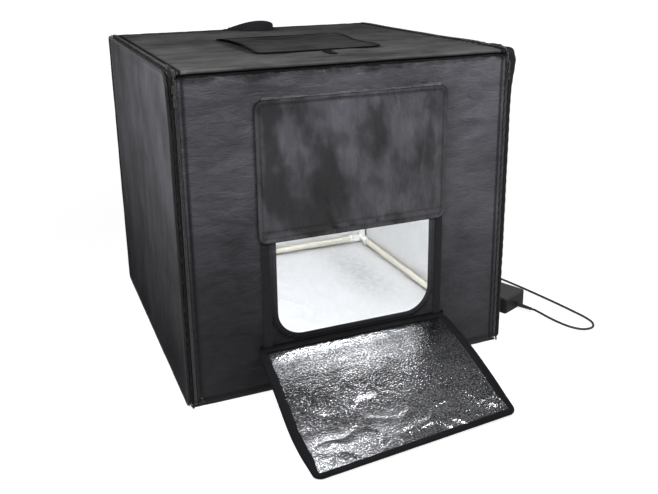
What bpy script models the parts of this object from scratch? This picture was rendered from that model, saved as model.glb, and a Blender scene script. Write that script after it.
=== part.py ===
"""Light tent cube with two light bars and its power adapter.

Metres, +Z up, +X to the right and +Y to the back, seen from the front. The origin is the
middle of the tent's underside, on the surface that the tent stands on.
"""
import math

import bmesh
import bpy
from mathutils import Matrix, Vector

MM = 0.001
DEGREE = math.pi / 180

# The tent's shell
TENT_WIDTH = 600 * MM
TENT_DEPTH = 600 * MM
TENT_HEIGHT = 555 * MM
CLOTH = 2 * MM
LINING = 0.8 * MM
LINING_SET_BACK = 5.6 * MM
GAP = 0.3 * MM
PIPING_RADIUS = 3 * MM
PIPING_GROUND = 1 * MM
FRONT_TOP_RADIUS = 22 * MM
PANEL_RADIUS = 10 * MM
NOSE_RADIUS = 10 * MM

# The zips between the tub and the lid
SIDE_TAPE = 8.5 * MM
TAPE = 1.5 * MM
TAPE_GROUND = 8 * MM
COIL_WIDTH = 4.2 * MM
COIL_HEIGHT = 1.8 * MM
SLIDER_LENGTH = 13 * MM
SLIDER_WIDTH = 7.4 * MM
SLIDER_NOSE_SHARE = 0.55
SLIDER_THICKNESS = 2.2 * MM
SLIDER_FROM_CORNER = 16 * MM
PULL_LENGTH = 20 * MM
PULL_WIDTH = 5.4 * MM
PULL_THICKNESS = 1.4 * MM
PULL_NECK_SHARE = 0.4

# The tube frame
TUBE_RADIUS = 7 * MM
TUBE_WALL = 1 * MM
SOCKET_RADIUS = 10 * MM
SOCKET_REACH = 34 * MM
SOCKET_FLOOR = 12 * MM
SLEEVE_START = 8 * MM
CUT_OVERRUN = 2 * MM

# The door in the front, with its window
DOOR_GROUND = 1.5 * MM
DOOR_CORNER = 20 * MM
DOOR_TAPE = 8 * MM
WINDOW_WIDTH = 284 * MM
WINDOW_BOTTOM = 98 * MM
WINDOW_TOP = 462 * MM
WINDOW_CORNER = 45 * MM
WINDOW_TURN_IN = 1 * MM
LOOP_STRIP_WIDTH = 15 * MM
LOOP_STRIP = 1 * MM
LOOP_STRIP_CENTRE = 161 * MM
LOOP_STRIP_BOTTOM = 84 * MM
LOOP_STRIP_TOP = 486 * MM
UPPER_FLAP_WIDTH = 342 * MM
UPPER_FLAP_BOTTOM = 268 * MM
UPPER_FLAP_TOP = 503 * MM
UPPER_FLAP_CORNER = 14 * MM
UPPER_FLAP = 2.5 * MM

# The lower flap, folded out in front of the door and down to the ground
LOWER_FLAP_WIDTH = 360 * MM
LOWER_FLAP_REACH = 258 * MM
LOWER_FLAP_HINGE = 76 * MM
LOWER_FLAP_START = 1 * MM
LOWER_FLAP_CORNER = 13 * MM
BINDING_WIDTH = 11 * MM
BINDING = 4.6 * MM
BINDING_PROUD = 0.8 * MM
BINDING_START = 7 * MM
BINDING_SEAT = 1.1 * MM
LEFT_OUT_SHARES = (0, 0.15, 0.30, 0.56, 0.74, 0.88, 1)
LEFT_HEIGHT_SHARES = (1, 0.83, 0.62, 0.20, 0.075, 0.066, 0.07)
RIGHT_OUT_SHARES = (0, 0.13, 0.24, 0.42, 0.63, 0.80, 0.89)
RIGHT_HEIGHT_SHARES = (1, 0.93, 0.855, 0.69, 0.44, 0.20, 0.08)

# The viewing hole in the roof, its flap and the tab in front of it
ROOF_HOLE = 170 * MM
ROOF_HOLE_CORNER = 16 * MM
ROOF_HOLE_X = -5 * MM
ROOF_HOLE_FROM_FRONT = 256 * MM
ROOF_FLAP_WIDTH = 238 * MM
ROOF_FLAP_LENGTH = 257 * MM
ROOF_FLAP_REAR_FROM_FRONT = 385 * MM
ROOF_FLAP_SIDE_LIFT = 7 * MM
ROOF_FLAP_BUMP = 6 * MM
ROOF_FLAP_GAP = 0.4 * MM
FLAP_FLAT_SHARE = 0.35
FLAP_BUMP_ACROSS_SHARE = 0.8
FLAP_BUMP_ALONG_SHARE = 0.22
FLAP_BUMP_SPREAD_SHARE = 0.34
FLAP_HINGE_SHARE = 0.13
TAB_WIDTH = 14 * MM
TAB_LENGTH = 40 * MM
TAB_CORNER_SHARE = 0.25
TAB_FROM_FLAP = 14 * MM
TAB_X = -3 * MM

# The carrying handle at the back edge of the roof
STRAP = 2.4 * MM
HANDLE_SPAN = 98 * MM
HANDLE_REACH = 70 * MM
HANDLE_X = 6 * MM
HANDLE_FROM_REAR = 16 * MM
HANDLE_EDGE_LOW = 2.4 * MM
HANDLE_GROUND = 0.6 * MM
HANDLE_EDGE_RISE = 19 * MM

# The light bars, which hang on the top side rails
BAR_WIDTH = 30 * MM
BAR_HEIGHT = 12 * MM
BAR_WALL = 1.2 * MM
BAR_END_SPACE = 6 * MM
BAR_BOARD = 1.6 * MM
BAR_CHIP = 3 * MM
BAR_CHIP_HEIGHT = 0.8 * MM
BAR_CHIP_PITCH = 26 * MM
BAR_DIFFUSER = 1.5 * MM
BAR_FROM_MIDDLE = 150 * MM
CLIP_WALL = 2 * MM
CLIP_WIDTH = 20 * MM
WEB_HEIGHT_SHARE = 0.6

# The power adapter beside the tent
ADAPTER_WIDTH = 70 * MM
ADAPTER_LENGTH = 150 * MM
ADAPTER_HEIGHT = 33 * MM
ADAPTER_WALL = 2.2 * MM
ADAPTER_CORNER = 5 * MM
ADAPTER_EDGE = 1.6 * MM
ADAPTER_FROM_SIDE = 108 * MM
ADAPTER_FROM_FRONT = 97.5 * MM
ADAPTER_YAW = 22.3 * DEGREE
INLET_WIDTH = 26 * MM
INLET_HEIGHT = 20 * MM
INLET_DEPTH = 19 * MM
INLET_WALL = 2.4 * MM
INLET_PIN_RADIUS = 1.3 * MM
INLET_PIN_LENGTH = 7 * MM
INLET_PIN_SPACING = 9 * MM
ADAPTER_BOARD = 1.6 * MM
ADAPTER_BOARD_HEIGHT = 4 * MM
# Shares of the board's half width, of its length and of the room over it
TRANSFORMER_SHARES = ((-0.55, 0.25), (0.35, 0.62), 1)
CHOKE_SHARES = ((-0.8, -0.2), (0.74, 0.92), 0.8)
CAPACITOR_SHARES = (0.5, 0.75, 0.3)
RELIEF_SIDE = 9 * MM
RELIEF_HEIGHT = 8 * MM
RELIEF_LENGTH = 33 * MM
RELIEF_ROOT_RADIUS = 4.8 * MM
RELIEF_TIP_RADIUS = 3.2 * MM
RELIEF_NECK_RADIUS = 3.6 * MM
RELIEF_FLANGE = 1.5 * MM
RELIEF_GROOVE = 0.8 * MM
RELIEF_RIBS = 6
RIB_SHARE = 0.25

# The lead from the adapter, put away in a coil beside the tent
LEAD_DIAMETER = 4.5 * MM
LEAD_GROUND = 0.3 * MM
LEAD_ROUTE = (
    (142 * MM, 28 * MM, 1.5 * MM),
    (149 * MM, 3 * MM, 0.1 * MM),
    (158 * MM, -21 * MM, 0),
    (173 * MM, -37 * MM, 0),
    (194 * MM, -38 * MM, 0),
    (208 * MM, -22 * MM, 0),
    (211 * MM, 3 * MM, 0),
    (207 * MM, 38 * MM, 0),
    (200 * MM, 85 * MM, 0),
    (191 * MM, 135 * MM, 0),
    (180 * MM, 190 * MM, 0),
    (167 * MM, 245 * MM, 0),
    (153 * MM, 295 * MM, 0),
    (137 * MM, 338 * MM, 0),
)
COIL_FROM_SIDE = 88 * MM
COIL_FROM_FRONT = 400 * MM
COIL_MEAN_RADIUS = 24.5 * MM
COIL_TURNS_A_LAYER = 3
COIL_TURN_GAP = 0.6 * MM
COIL_LAYER_GAP = 0.5 * MM
COIL_POINTS_A_TURN = 24
CONNECTOR_RADIUS = 5 * MM
CONNECTOR_LENGTH = 26 * MM
BARREL_RADIUS = 2.75 * MM
BARREL_LENGTH = 10 * MM

TUBE_SIDES = 14
ROUND_STEPS = 5

# Places that follow from the sizes above
HALF_WIDTH = TENT_WIDTH / 2
HALF_DEPTH = TENT_DEPTH / 2
WALL = CLOTH + GAP + LINING
PIPING_X = HALF_WIDTH - CLOTH / 2
STRIP_EDGE = PIPING_X - PIPING_RADIUS - GAP
ZIP_LINE = STRIP_EDGE - SIDE_TAPE
LID_EDGE = ZIP_LINE - GAP
CORNER_X = STRIP_EDGE - LINING - GAP - SOCKET_RADIUS
CORNER_Y = HALF_DEPTH - WALL - GAP - SOCKET_RADIUS
CORNER_LOW = WALL + GAP + SOCKET_RADIUS
CORNER_HIGH = TENT_HEIGHT - CORNER_LOW
TUBE_END = SOCKET_FLOOR + GAP
DOOR_TOP = TENT_HEIGHT - NOSE_RADIUS - GAP
DOOR_HINGE = (-HALF_DEPTH, DOOR_TOP + GAP / 2)
ROOF_HINGE = (HALF_DEPTH, TENT_HEIGHT)
UPPER_FLAP_FACE = HALF_DEPTH + GAP + LOOP_STRIP + GAP
UPPER_FLAP_HINGE = (-UPPER_FLAP_FACE - UPPER_FLAP / 2, UPPER_FLAP_TOP)
LOWER_FLAP_HINGE_LINE = (-HALF_DEPTH - LOWER_FLAP_START, LOWER_FLAP_HINGE)
ROOF_HOLE_Y = -HALF_DEPTH + ROOF_HOLE_FROM_FRONT
ROOF_FLAP_REAR = -HALF_DEPTH + ROOF_FLAP_REAR_FROM_FRONT
ROOF_FLAP_HINGE = (ROOF_FLAP_REAR, TENT_HEIGHT + ROOF_FLAP_GAP + CLOTH / 2)
HANDLE_HINGE = (HALF_DEPTH - HANDLE_FROM_REAR, TENT_HEIGHT + HANDLE_EDGE_LOW)
ADAPTER_PLACE = (HALF_WIDTH + ADAPTER_FROM_SIDE, -HALF_DEPTH + ADAPTER_FROM_FRONT)
COIL_CENTRE = (HALF_WIDTH + COIL_FROM_SIDE, -HALF_DEPTH + COIL_FROM_FRONT)
ORIGIN = (0, 0, 0)

X = Vector((1, 0, 0))
Y = Vector((0, 1, 0))
Z = Vector((0, 0, 1))


def remove_everything():
    for old in list(bpy.data.objects):
        bpy.data.objects.remove(old, do_unlink=True)


def surface(name, colour, roughness, metallic=0.0):
    """A plain material with the colour, roughness and metallic value of a part."""
    made = bpy.data.materials.new(name)
    made.use_nodes = True
    shader = made.node_tree.nodes["Principled BSDF"]
    shader.inputs["Base Color"].default_value = (*colour, 1)
    shader.inputs["Roughness"].default_value = roughness
    shader.inputs["Metallic"].default_value = metallic
    made.diffuse_color = (*colour, 1)
    return made


def part(name, shape, look, origin=ORIGIN, yaw=0):
    """Make one named object of a closed shape that is drawn round `origin`."""
    bmesh.ops.recalc_face_normals(shape, faces=shape.faces)
    bmesh.ops.translate(shape, verts=shape.verts, vec=-Vector(origin))
    mesh = bpy.data.meshes.new(name)
    shape.to_mesh(mesh)
    shape.free()
    mesh.shade_smooth()
    mesh.set_sharp_from_angle(angle=35 * DEGREE)
    mesh.materials.append(look)
    made = bpy.data.objects.new(name, mesh)
    made.location = origin
    bpy.context.scene.collection.objects.link(made)
    return made


def sweep(shape, outline, stations):
    """Sweep a closed outline of (across, out) points through stations.

    A station is a place, the direction across and the direction out.
    """
    rings = []
    for place, across, out in stations:
        rings.append([shape.verts.new(place + across * a + out * o) for a, o in outline])
    count = len(outline)
    for first, second in zip(rings, rings[1:]):
        for i in range(count):
            j = (i + 1) % count
            shape.faces.new((first[i], first[j], second[j], second[i]))
    shape.faces.new(rings[0])
    shape.faces.new(rings[-1])


def slab(shape, outline, axis, low, high):
    """Extrude an outline from low to high along X, Y or Z."""
    across, out = {"X": (Y, Z), "Y": (X, Z), "Z": (X, Y)}[axis]
    along = {"X": X, "Y": Y, "Z": Z}[axis]
    sweep(shape, outline, [(along * low, across, out), (along * high, across, out)])


def block(shape, low, high):
    """A plain box between two corners."""
    slab(shape, rectangle(low[0], low[1], high[0], high[1]), "Z", low[2], high[2])


def rectangle(left, bottom, right, top):
    return [(left, bottom), (right, bottom), (right, top), (left, top)]


def rounded(left, bottom, right, top, radii, steps=ROUND_STEPS):
    """A rectangle's outline with rounded corners.

    The radii are those of the corners bottom left, bottom right, top right and top left.
    """
    corners = ((left, bottom, 1, 1), (right, bottom, -1, 1), (right, top, -1, -1), (left, top, 1, -1))
    points = []
    for number, ((x, y, inx, iny), radius) in enumerate(zip(corners, radii)):
        start = math.pi + number * math.pi / 2
        for step in range(steps + 1):
            angle = start + math.pi / 2 * step / steps
            centre_x = x + inx * radius
            centre_y = y + iny * radius
            points.append((centre_x + radius * math.cos(angle), centre_y + radius * math.sin(angle)))
    return points


def circle(radius, sides):
    turn = 2 * math.pi / sides
    return [(radius * math.cos(turn * i), radius * math.sin(turn * i)) for i in range(sides)]


def rod(shape, start, end, radius, sides=TUBE_SIDES):
    """A solid round bar from start to end."""
    start, end = Vector(start), Vector(end)
    along = (end - start).normalized()
    across = along.orthogonal().normalized()
    out = along.cross(across)
    sweep(shape, circle(radius, sides), [(start, across, out), (end, across, out)])


def pipe(shape, start, end, outer, inner, sides=TUBE_SIDES):
    """A round tube with open ends."""
    start, end = Vector(start), Vector(end)
    along = (end - start).normalized()
    across = along.orthogonal().normalized()
    out = along.cross(across)
    rings = []
    for place, radius in ((start, outer), (end, outer), (end, inner), (start, inner)):
        rings.append([shape.verts.new(place + across * a + out * o) for a, o in circle(radius, sides)])
    for first, second in zip(rings, rings[1:] + rings[:1]):
        for i in range(sides):
            j = (i + 1) % sides
            shape.faces.new((first[i], first[j], second[j], second[i]))


def turned(shape, profile, base, along, sides):
    """Turn a profile of (distance along, radius) round an axis, with flat ends."""
    base, along = Vector(base), Vector(along).normalized()
    across = along.orthogonal().normalized()
    out = along.cross(across)
    stations = [(base + along * distance, across * radius, out * radius) for distance, radius in profile]
    sweep(shape, circle(1, sides), stations)


def combined(base, steps):
    """Apply Boolean steps of (operation, shape) to a shape and give the result."""
    bmesh.ops.recalc_face_normals(base, faces=base.faces)
    made = helper_object(base)
    helpers = [made]
    for operation, tool in steps:
        bmesh.ops.recalc_face_normals(tool, faces=tool.faces)
        other = helper_object(tool)
        helpers.append(other)
        step = made.modifiers.new(operation, "BOOLEAN")
        step.operation = operation
        step.solver = "EXACT"
        step.object = other
    bpy.context.view_layer.update()
    evaluated = made.evaluated_get(bpy.context.evaluated_depsgraph_get())
    result = bmesh.new()
    result.from_mesh(evaluated.to_mesh())
    for helper in helpers:
        bpy.data.objects.remove(helper, do_unlink=True)
    return result


def helper_object(shape):
    mesh = bpy.data.meshes.new("helper")
    shape.to_mesh(mesh)
    shape.free()
    made = bpy.data.objects.new("helper", mesh)
    bpy.context.scene.collection.objects.link(made)
    return made


def lid_path(stretch_end, ground, radius):
    """Stations along the roof, round the front edge and down the front.

    Either end can be left out with None: the roof's end at the back, or the front's end
    above the ground.
    """
    centre_y = -HALF_DEPTH + radius
    centre_z = TENT_HEIGHT - radius
    stations = []
    if stretch_end is not None:
        stations.append((Vector((0, stretch_end, TENT_HEIGHT)), X, Z))
    for step in range(ROUND_STEPS + 1):
        angle = math.pi / 2 * (1 + step / ROUND_STEPS)
        out = Vector((0, math.cos(angle), math.sin(angle)))
        stations.append((Vector((0, centre_y, centre_z)) + out * radius, X, out))
    if ground is not None:
        stations.append((Vector((0, -HALF_DEPTH, ground)), X, -Y))
    return stations


def build_frame(metal, white):
    """Twelve tubes in eight three-way corner sockets."""
    bore = TUBE_RADIUS - TUBE_WALL
    half_x = CORNER_X - TUBE_END
    half_y = CORNER_Y - TUBE_END
    low, high = CORNER_LOW + TUBE_END, CORNER_HIGH - TUBE_END
    for side, x in (("left", -CORNER_X), ("right", CORNER_X)):
        for end, y in (("front", -CORNER_Y), ("rear", CORNER_Y)):
            upright = bmesh.new()
            pipe(upright, (x, y, low), (x, y, high), TUBE_RADIUS, bore)
            part(f"frame_upright_{end}_{side}", upright, metal)
    for level, z in (("bottom", CORNER_LOW), ("top", CORNER_HIGH)):
        for side, x in (("left", -CORNER_X), ("right", CORNER_X)):
            rail = bmesh.new()
            pipe(rail, (x, -half_y, z), (x, half_y, z), TUBE_RADIUS, bore)
            part(f"frame_rail_{level}_{side}", rail, metal)
        for end, y in (("front", -CORNER_Y), ("rear", CORNER_Y)):
            rail = bmesh.new()
            pipe(rail, (-half_x, y, z), (half_x, y, z), TUBE_RADIUS, bore)
            part(f"frame_rail_{level}_{end}", rail, metal)
    for level, z, up in (("bottom", CORNER_LOW, Z), ("top", CORNER_HIGH, -Z)):
        for side, across in (("left", -1), ("right", 1)):
            for end, along in (("front", -1), ("rear", 1)):
                centre = Vector((across * CORNER_X, along * CORNER_Y, z))
                socket = three_way_socket(centre, (-across * X, -along * Y, up))
                part(f"corner_socket_{level}_{end}_{side}", socket, white, centre)


def three_way_socket(centre, arms):
    """Three sleeves that cross at the corner, each bored for its tube."""
    sleeves = []
    for number, arm in enumerate(arms):
        sleeve = bmesh.new()
        start = centre - arm * (SLEEVE_START + number * GAP)
        rod(sleeve, start, centre + arm * SOCKET_REACH, SOCKET_RADIUS - number * GAP)
        sleeves.append(sleeve)
    steps = [("UNION", sleeve) for sleeve in sleeves[1:]]
    for arm in arms:
        bore = bmesh.new()
        mouth = SOCKET_REACH + CUT_OVERRUN
        rod(bore, centre + arm * SOCKET_FLOOR, centre + arm * mouth, TUBE_RADIUS + GAP)
        steps.append(("DIFFERENCE", bore))
    return combined(sleeves[0], steps)


def build_tub(cloth, foil, trim):
    """The floor, back and side panels, their lining and the piping round the sides."""
    inner_y = HALF_DEPTH - CLOTH - GAP
    floor = bmesh.new()
    block(floor, (-STRIP_EDGE, -inner_y, 0), (STRIP_EDGE, inner_y, CLOTH))
    part("floor_panel", floor, cloth)
    rear = bmesh.new()
    top = TENT_HEIGHT - CLOTH - GAP
    block(rear, (-STRIP_EDGE, HALF_DEPTH - CLOTH, 0), (STRIP_EDGE, HALF_DEPTH, top))
    part("rear_panel", rear, cloth)
    for side, sign in (("left", -1), ("right", 1)):
        panel = bmesh.new()
        outer = sign * HALF_WIDTH
        slab(panel, side_outline(PIPING_RADIUS + GAP), "X", outer, outer - sign * CLOTH)
        part(f"side_panel_{side}", panel, cloth)
    part("tub_lining", tub_lining(), foil)
    build_piping(trim)


def tub_lining():
    """The lining of the floor, back and sides, sewn together in one piece."""
    front = -HALF_DEPTH + LINING_SET_BACK
    rear = HALF_DEPTH - CLOTH - GAP
    low, high = CLOTH + GAP, TENT_HEIGHT - WALL - GAP
    outer = bmesh.new()
    block(outer, (-STRIP_EDGE, front, low), (STRIP_EDGE, rear, high))
    inner = bmesh.new()
    block(inner, (-STRIP_EDGE + LINING, front - CUT_OVERRUN, low + LINING),
          (STRIP_EDGE - LINING, rear - LINING, high + CUT_OVERRUN))
    return combined(outer, [("DIFFERENCE", inner)])


def side_outline(inset):
    """The side's outline in Y and Z, drawn in from the piping's centre line."""
    half = HALF_DEPTH - PIPING_RADIUS - inset
    low = PIPING_GROUND + PIPING_RADIUS + inset
    high = TENT_HEIGHT - PIPING_RADIUS - inset
    corner = PANEL_RADIUS - inset
    radii = (corner, corner, corner, FRONT_TOP_RADIUS - inset)
    return rounded(-half, low, half, high, radii)


def build_piping(trim):
    """A round cord sewn into the seam round each side."""
    outline = side_outline(0)
    for side, sign in (("left", -1), ("right", 1)):
        data = bpy.data.curves.new(f"edge_piping_{side}", "CURVE")
        data.dimensions = "3D"
        data.bevel_depth = PIPING_RADIUS
        data.bevel_resolution = 1
        spline = data.splines.new("POLY")
        spline.points.add(len(outline) - 1)
        for point, (y, z) in zip(spline.points, outline):
            point.co = (sign * PIPING_X, y, z, 1)
        spline.use_cyclic_u = True
        data.materials.append(trim)
        made = bpy.data.objects.new(f"edge_piping_{side}", data)
        bpy.context.scene.collection.objects.link(made)


def build_zips(tape, metal):
    """The tub's half of each zip, and two sliders on each side."""
    coil = ZIP_LINE + GAP
    outline = [(ZIP_LINE, -TAPE), (STRIP_EDGE, -TAPE), (STRIP_EDGE, 0), (coil + COIL_WIDTH, 0),
               (coil + COIL_WIDTH, COIL_HEIGHT), (coil, COIL_HEIGHT), (coil, 0), (ZIP_LINE, 0)]
    middle = ZIP_LINE + GAP + SLIDER_WIDTH / 2
    from_corner = NOSE_RADIUS + SLIDER_FROM_CORNER
    for side, sign in (("left", -1), ("right", 1)):
        mirrored = [(sign * a, o) for a, o in outline]
        tapes = bmesh.new()
        sweep(tapes, mirrored, lid_path(HALF_DEPTH - PIPING_RADIUS, TAPE_GROUND, NOSE_RADIUS))
        part(f"zip_tape_{side}", tapes, tape)
        on_front = Vector((sign * middle, -HALF_DEPTH, TENT_HEIGHT - from_corner))
        build_slider(f"door_zip_slider_{side}", on_front, -Z, -Y, metal)
        on_roof = Vector((sign * middle, -HALF_DEPTH + from_corner, TENT_HEIGHT))
        build_slider(f"roof_zip_slider_{side}", on_roof, Y, Z, metal)


def build_slider(name, place, along, out, metal):
    """A slider over the zip's coil, with its pull.

    `along` is the way that it slides to open, and its pull lies that way.
    """
    low = COIL_HEIGHT + GAP
    half = SLIDER_LENGTH / 2
    wide = SLIDER_WIDTH / 2
    nose = wide * SLIDER_NOSE_SHARE
    outline = [(-nose, -half), (nose, -half), (wide, -half + wide),
               (wide, half), (-wide, half), (-wide, -half + wide)]
    body = bmesh.new()
    top = low + SLIDER_THICKNESS
    sweep(body, outline, [(place + out * low, X, along), (place + out * top, X, along)])
    pull = bmesh.new()
    neck = wide * PULL_NECK_SHARE
    grip = PULL_WIDTH / 2
    shoulder = half + grip
    end = half + PULL_LENGTH
    outline = [(-neck, 0), (neck, 0), (neck, shoulder), (grip, shoulder + grip), (grip, end),
               (-grip, end), (-grip, shoulder + grip), (-neck, shoulder)]
    base = place + out * (low + (SLIDER_THICKNESS - PULL_THICKNESS) / 2)
    sweep(pull, outline, [(base, X, along), (base + out * PULL_THICKNESS, X, along)])
    part(name, combined(body, [("UNION", pull)]), metal, place)


def build_roof(cloth, foil, strap):
    """The roof panel with its viewing hole, the lining, the hole's flap, the tab and the handle."""
    hinge = (0, *ROOF_HINGE)
    half = ROOF_HOLE / 2
    roof = bmesh.new()
    outline = rectangle(-LID_EDGE, -CLOTH, LID_EDGE, 0)
    sweep(roof, outline, lid_path(HALF_DEPTH - GAP, None, NOSE_RADIUS))
    part("roof_panel", combined(roof, [("DIFFERENCE", roof_hole(half))]), cloth, hinge)
    lining = bmesh.new()
    front = -HALF_DEPTH + NOSE_RADIUS + GAP
    rear = HALF_DEPTH - WALL - GAP
    top = TENT_HEIGHT - CLOTH - GAP
    block(lining, (-LID_EDGE, front, top - LINING), (LID_EDGE, rear, top))
    part("roof_lining", combined(lining, [("DIFFERENCE", roof_hole(half + WINDOW_TURN_IN))]), foil, hinge)
    flap = bmesh.new()
    sheet(flap, roof_flap_point, ROOF_FLAP_WIDTH / 2, CLOTH, 10, 10)
    part("roof_flap", flap, cloth, (0, *ROOF_FLAP_HINGE))
    tab = bmesh.new()
    tab_front = ROOF_FLAP_REAR - ROOF_FLAP_LENGTH - TAB_FROM_FLAP
    corner = TAB_WIDTH * TAB_CORNER_SHARE
    outline = rounded(TAB_X - TAB_WIDTH / 2, tab_front - TAB_LENGTH, TAB_X + TAB_WIDTH / 2, tab_front,
                      (corner,) * 4)
    slab(tab, outline, "Z", TENT_HEIGHT + GAP, TENT_HEIGHT + GAP + TAPE)
    part("roof_flap_tab", tab, strap, hinge)
    build_handle(strap)


def roof_hole(half):
    cutter = bmesh.new()
    outline = rounded(ROOF_HOLE_X - half, ROOF_HOLE_Y - half, ROOF_HOLE_X + half, ROOF_HOLE_Y + half,
                      (ROOF_HOLE_CORNER,) * 4)
    slab(cutter, outline, "Z", TENT_HEIGHT - WALL - CUT_OVERRUN, TENT_HEIGHT + CUT_OVERRUN)
    return cutter


def sheet(shape, point, half, thickness, columns, rows):
    """A sheet of cloth whose upper face follows point(x, share of its length)."""
    upper, lower = [], []
    for row in range(rows + 1):
        share = row / rows
        for column in range(columns + 1):
            x = half * (2 * column / columns - 1)
            place, out = place_and_normal(point, x, share)
            upper.append(shape.verts.new(place))
            lower.append(shape.verts.new(place - out * thickness))
    width = columns + 1
    for row in range(rows):
        for column in range(columns):
            i = row * width + column
            for layer in (upper, lower):
                shape.faces.new((layer[i], layer[i + 1], layer[i + width + 1], layer[i + width]))
    rim = [column for column in range(width)]
    rim += [row * width + columns for row in range(1, rows + 1)]
    rim += [rows * width + column for column in range(columns - 1, -1, -1)]
    rim += [row * width for row in range(rows - 1, 0, -1)]
    for i, j in zip(rim, rim[1:] + rim[:1]):
        shape.faces.new((upper[i], upper[j], lower[j], lower[i]))


def place_and_normal(point, x, share):
    """A point of a sheet and the direction out of its upper face."""
    step_share = 0.01
    step = step_share * TENT_WIDTH
    across = point(x + step, share) - point(x - step, share)
    before = max(share - step_share, 0)
    after = min(share + step_share, 1)
    along = point(x, after) - point(x, before)
    return point(x, share), along.cross(across).normalized()


def roof_flap_point(x, share):
    """The roof flap's upper face: it lies on the roof, with its left side and one corner lifted."""
    across_share = x / (ROOF_FLAP_WIDTH / 2)
    left_share = max(0, -across_share - FLAP_FLAT_SHARE) / (1 - FLAP_FLAT_SHARE)
    along = math.sin(math.pi * share)
    bump_x = (across_share - FLAP_BUMP_ACROSS_SHARE) / FLAP_BUMP_SPREAD_SHARE
    bump_y = (share - FLAP_BUMP_ALONG_SHARE) / (FLAP_BUMP_SPREAD_SHARE / 2)
    bump = ROOF_FLAP_BUMP * math.exp(-bump_x ** 2 - bump_y ** 2)
    lift = ROOF_FLAP_SIDE_LIFT * left_share * along + bump * min(1, share / FLAP_HINGE_SHARE)
    z = TENT_HEIGHT + ROOF_FLAP_GAP + CLOTH + lift
    return Vector((ROOF_HOLE_X + x, ROOF_FLAP_REAR - ROOF_FLAP_LENGTH * share, z))


def build_handle(strap):
    """A loop of strap that lies forward on the roof, standing on its edge."""
    axis_y, axis_z = HANDLE_HINGE
    half = HANDLE_SPAN / 2
    low = TENT_HEIGHT + HANDLE_GROUND
    steps = 18
    loop = bmesh.new()
    rings = []
    for step in range(steps + 1):
        angle = math.pi * step / steps
        place = Vector((HANDLE_X + half * math.cos(angle), axis_y - HANDLE_REACH * math.sin(angle), low))
        along = Vector((-half * math.sin(angle), -HANDLE_REACH * math.cos(angle), 0)).normalized()
        across = along.cross(Z) * (STRAP / 2)
        up = Z * (2 * (axis_z - low) + HANDLE_EDGE_RISE * math.sin(angle))
        corners = (place - across, place + across, place + across + up, place - across + up)
        rings.append([loop.verts.new(corner) for corner in corners])
    for first, second in zip(rings, rings[1:]):
        for i in range(4):
            j = (i + 1) % 4
            loop.faces.new((first[i], first[j], second[j], second[i]))
    loop.faces.new(rings[0])
    loop.faces.new(rings[-1])
    part("carry_handle", loop, strap, (0, *HANDLE_HINGE))


def build_door(cloth, foil, loop_tape):
    """The door panel with its window, the lining, the loop strips and the upper flap."""
    hinge = (0, *DOOR_HINGE)
    panel = bmesh.new()
    slab(panel, door_outline(DOOR_GROUND, DOOR_TOP), "Y", -HALF_DEPTH, -HALF_DEPTH + CLOTH)
    part("door_panel", combined(panel, [("DIFFERENCE", window_cutter(0))]), cloth, hinge)
    lining = bmesh.new()
    face = -HALF_DEPTH + CLOTH + GAP
    slab(lining, door_outline(WALL + GAP, DOOR_TOP - GAP), "Y", face, face + LINING)
    part("door_lining", combined(lining, [("DIFFERENCE", window_cutter(WINDOW_TURN_IN))]), foil, hinge)
    for side, sign in (("left", -1), ("right", 1)):
        strip = bmesh.new()
        left = sign * LOOP_STRIP_CENTRE - LOOP_STRIP_WIDTH / 2
        block(strip, (left, -HALF_DEPTH - GAP - LOOP_STRIP, LOOP_STRIP_BOTTOM),
              (left + LOOP_STRIP_WIDTH, -HALF_DEPTH - GAP, LOOP_STRIP_TOP))
        part(f"window_loop_strip_{side}", strip, loop_tape, hinge)
    flap = bmesh.new()
    half = UPPER_FLAP_WIDTH / 2
    outline = rounded(-half, UPPER_FLAP_BOTTOM, half, UPPER_FLAP_TOP, (UPPER_FLAP_CORNER,) * 4)
    slab(flap, outline, "Y", -UPPER_FLAP_FACE - UPPER_FLAP, -UPPER_FLAP_FACE)
    part("upper_flap", flap, cloth, (0, *UPPER_FLAP_HINGE))


def door_outline(low, high):
    """The door's outline: round bottom corners between the ends of its zip tapes."""
    middle = LID_EDGE - DOOR_TAPE
    corner = rounded(-middle, low, middle, high, (DOOR_CORNER, DOOR_CORNER, GAP, GAP))
    bottom = corner[:2 * (ROUND_STEPS + 1)]
    return ([(-LID_EDGE, high), (-LID_EDGE, TAPE_GROUND), (-middle, TAPE_GROUND)] + bottom
            + [(middle, TAPE_GROUND), (LID_EDGE, TAPE_GROUND), (LID_EDGE, high)])


def window_cutter(grow):
    cutter = bmesh.new()
    half = WINDOW_WIDTH / 2 + grow
    outline = rounded(-half, WINDOW_BOTTOM - grow, half, WINDOW_TOP + grow, (WINDOW_CORNER,) * 4)
    slab(cutter, outline, "Y", -HALF_DEPTH - CUT_OVERRUN, -HALF_DEPTH + WALL + CUT_OVERRUN)
    return cutter


def along_table(values, share):
    """A smooth value at a share of a table's length, through all its values."""
    last = len(values) - 1
    place = min(max(share, 0), 1) * last
    i = min(int(place), last - 1)
    t = place - i
    a, b = values[i], values[i + 1]
    before = values[i - 1] if i > 0 else 2 * a - b
    after = values[i + 2] if i + 2 <= last else 2 * b - a
    start, end = (b - before) / 2, (after - a) / 2
    return (a * (2 * t ** 3 - 3 * t ** 2 + 1) + start * (t ** 3 - 2 * t ** 2 + t)
            + b * (3 * t ** 2 - 2 * t ** 3) + end * (t ** 3 - t ** 2))


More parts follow.
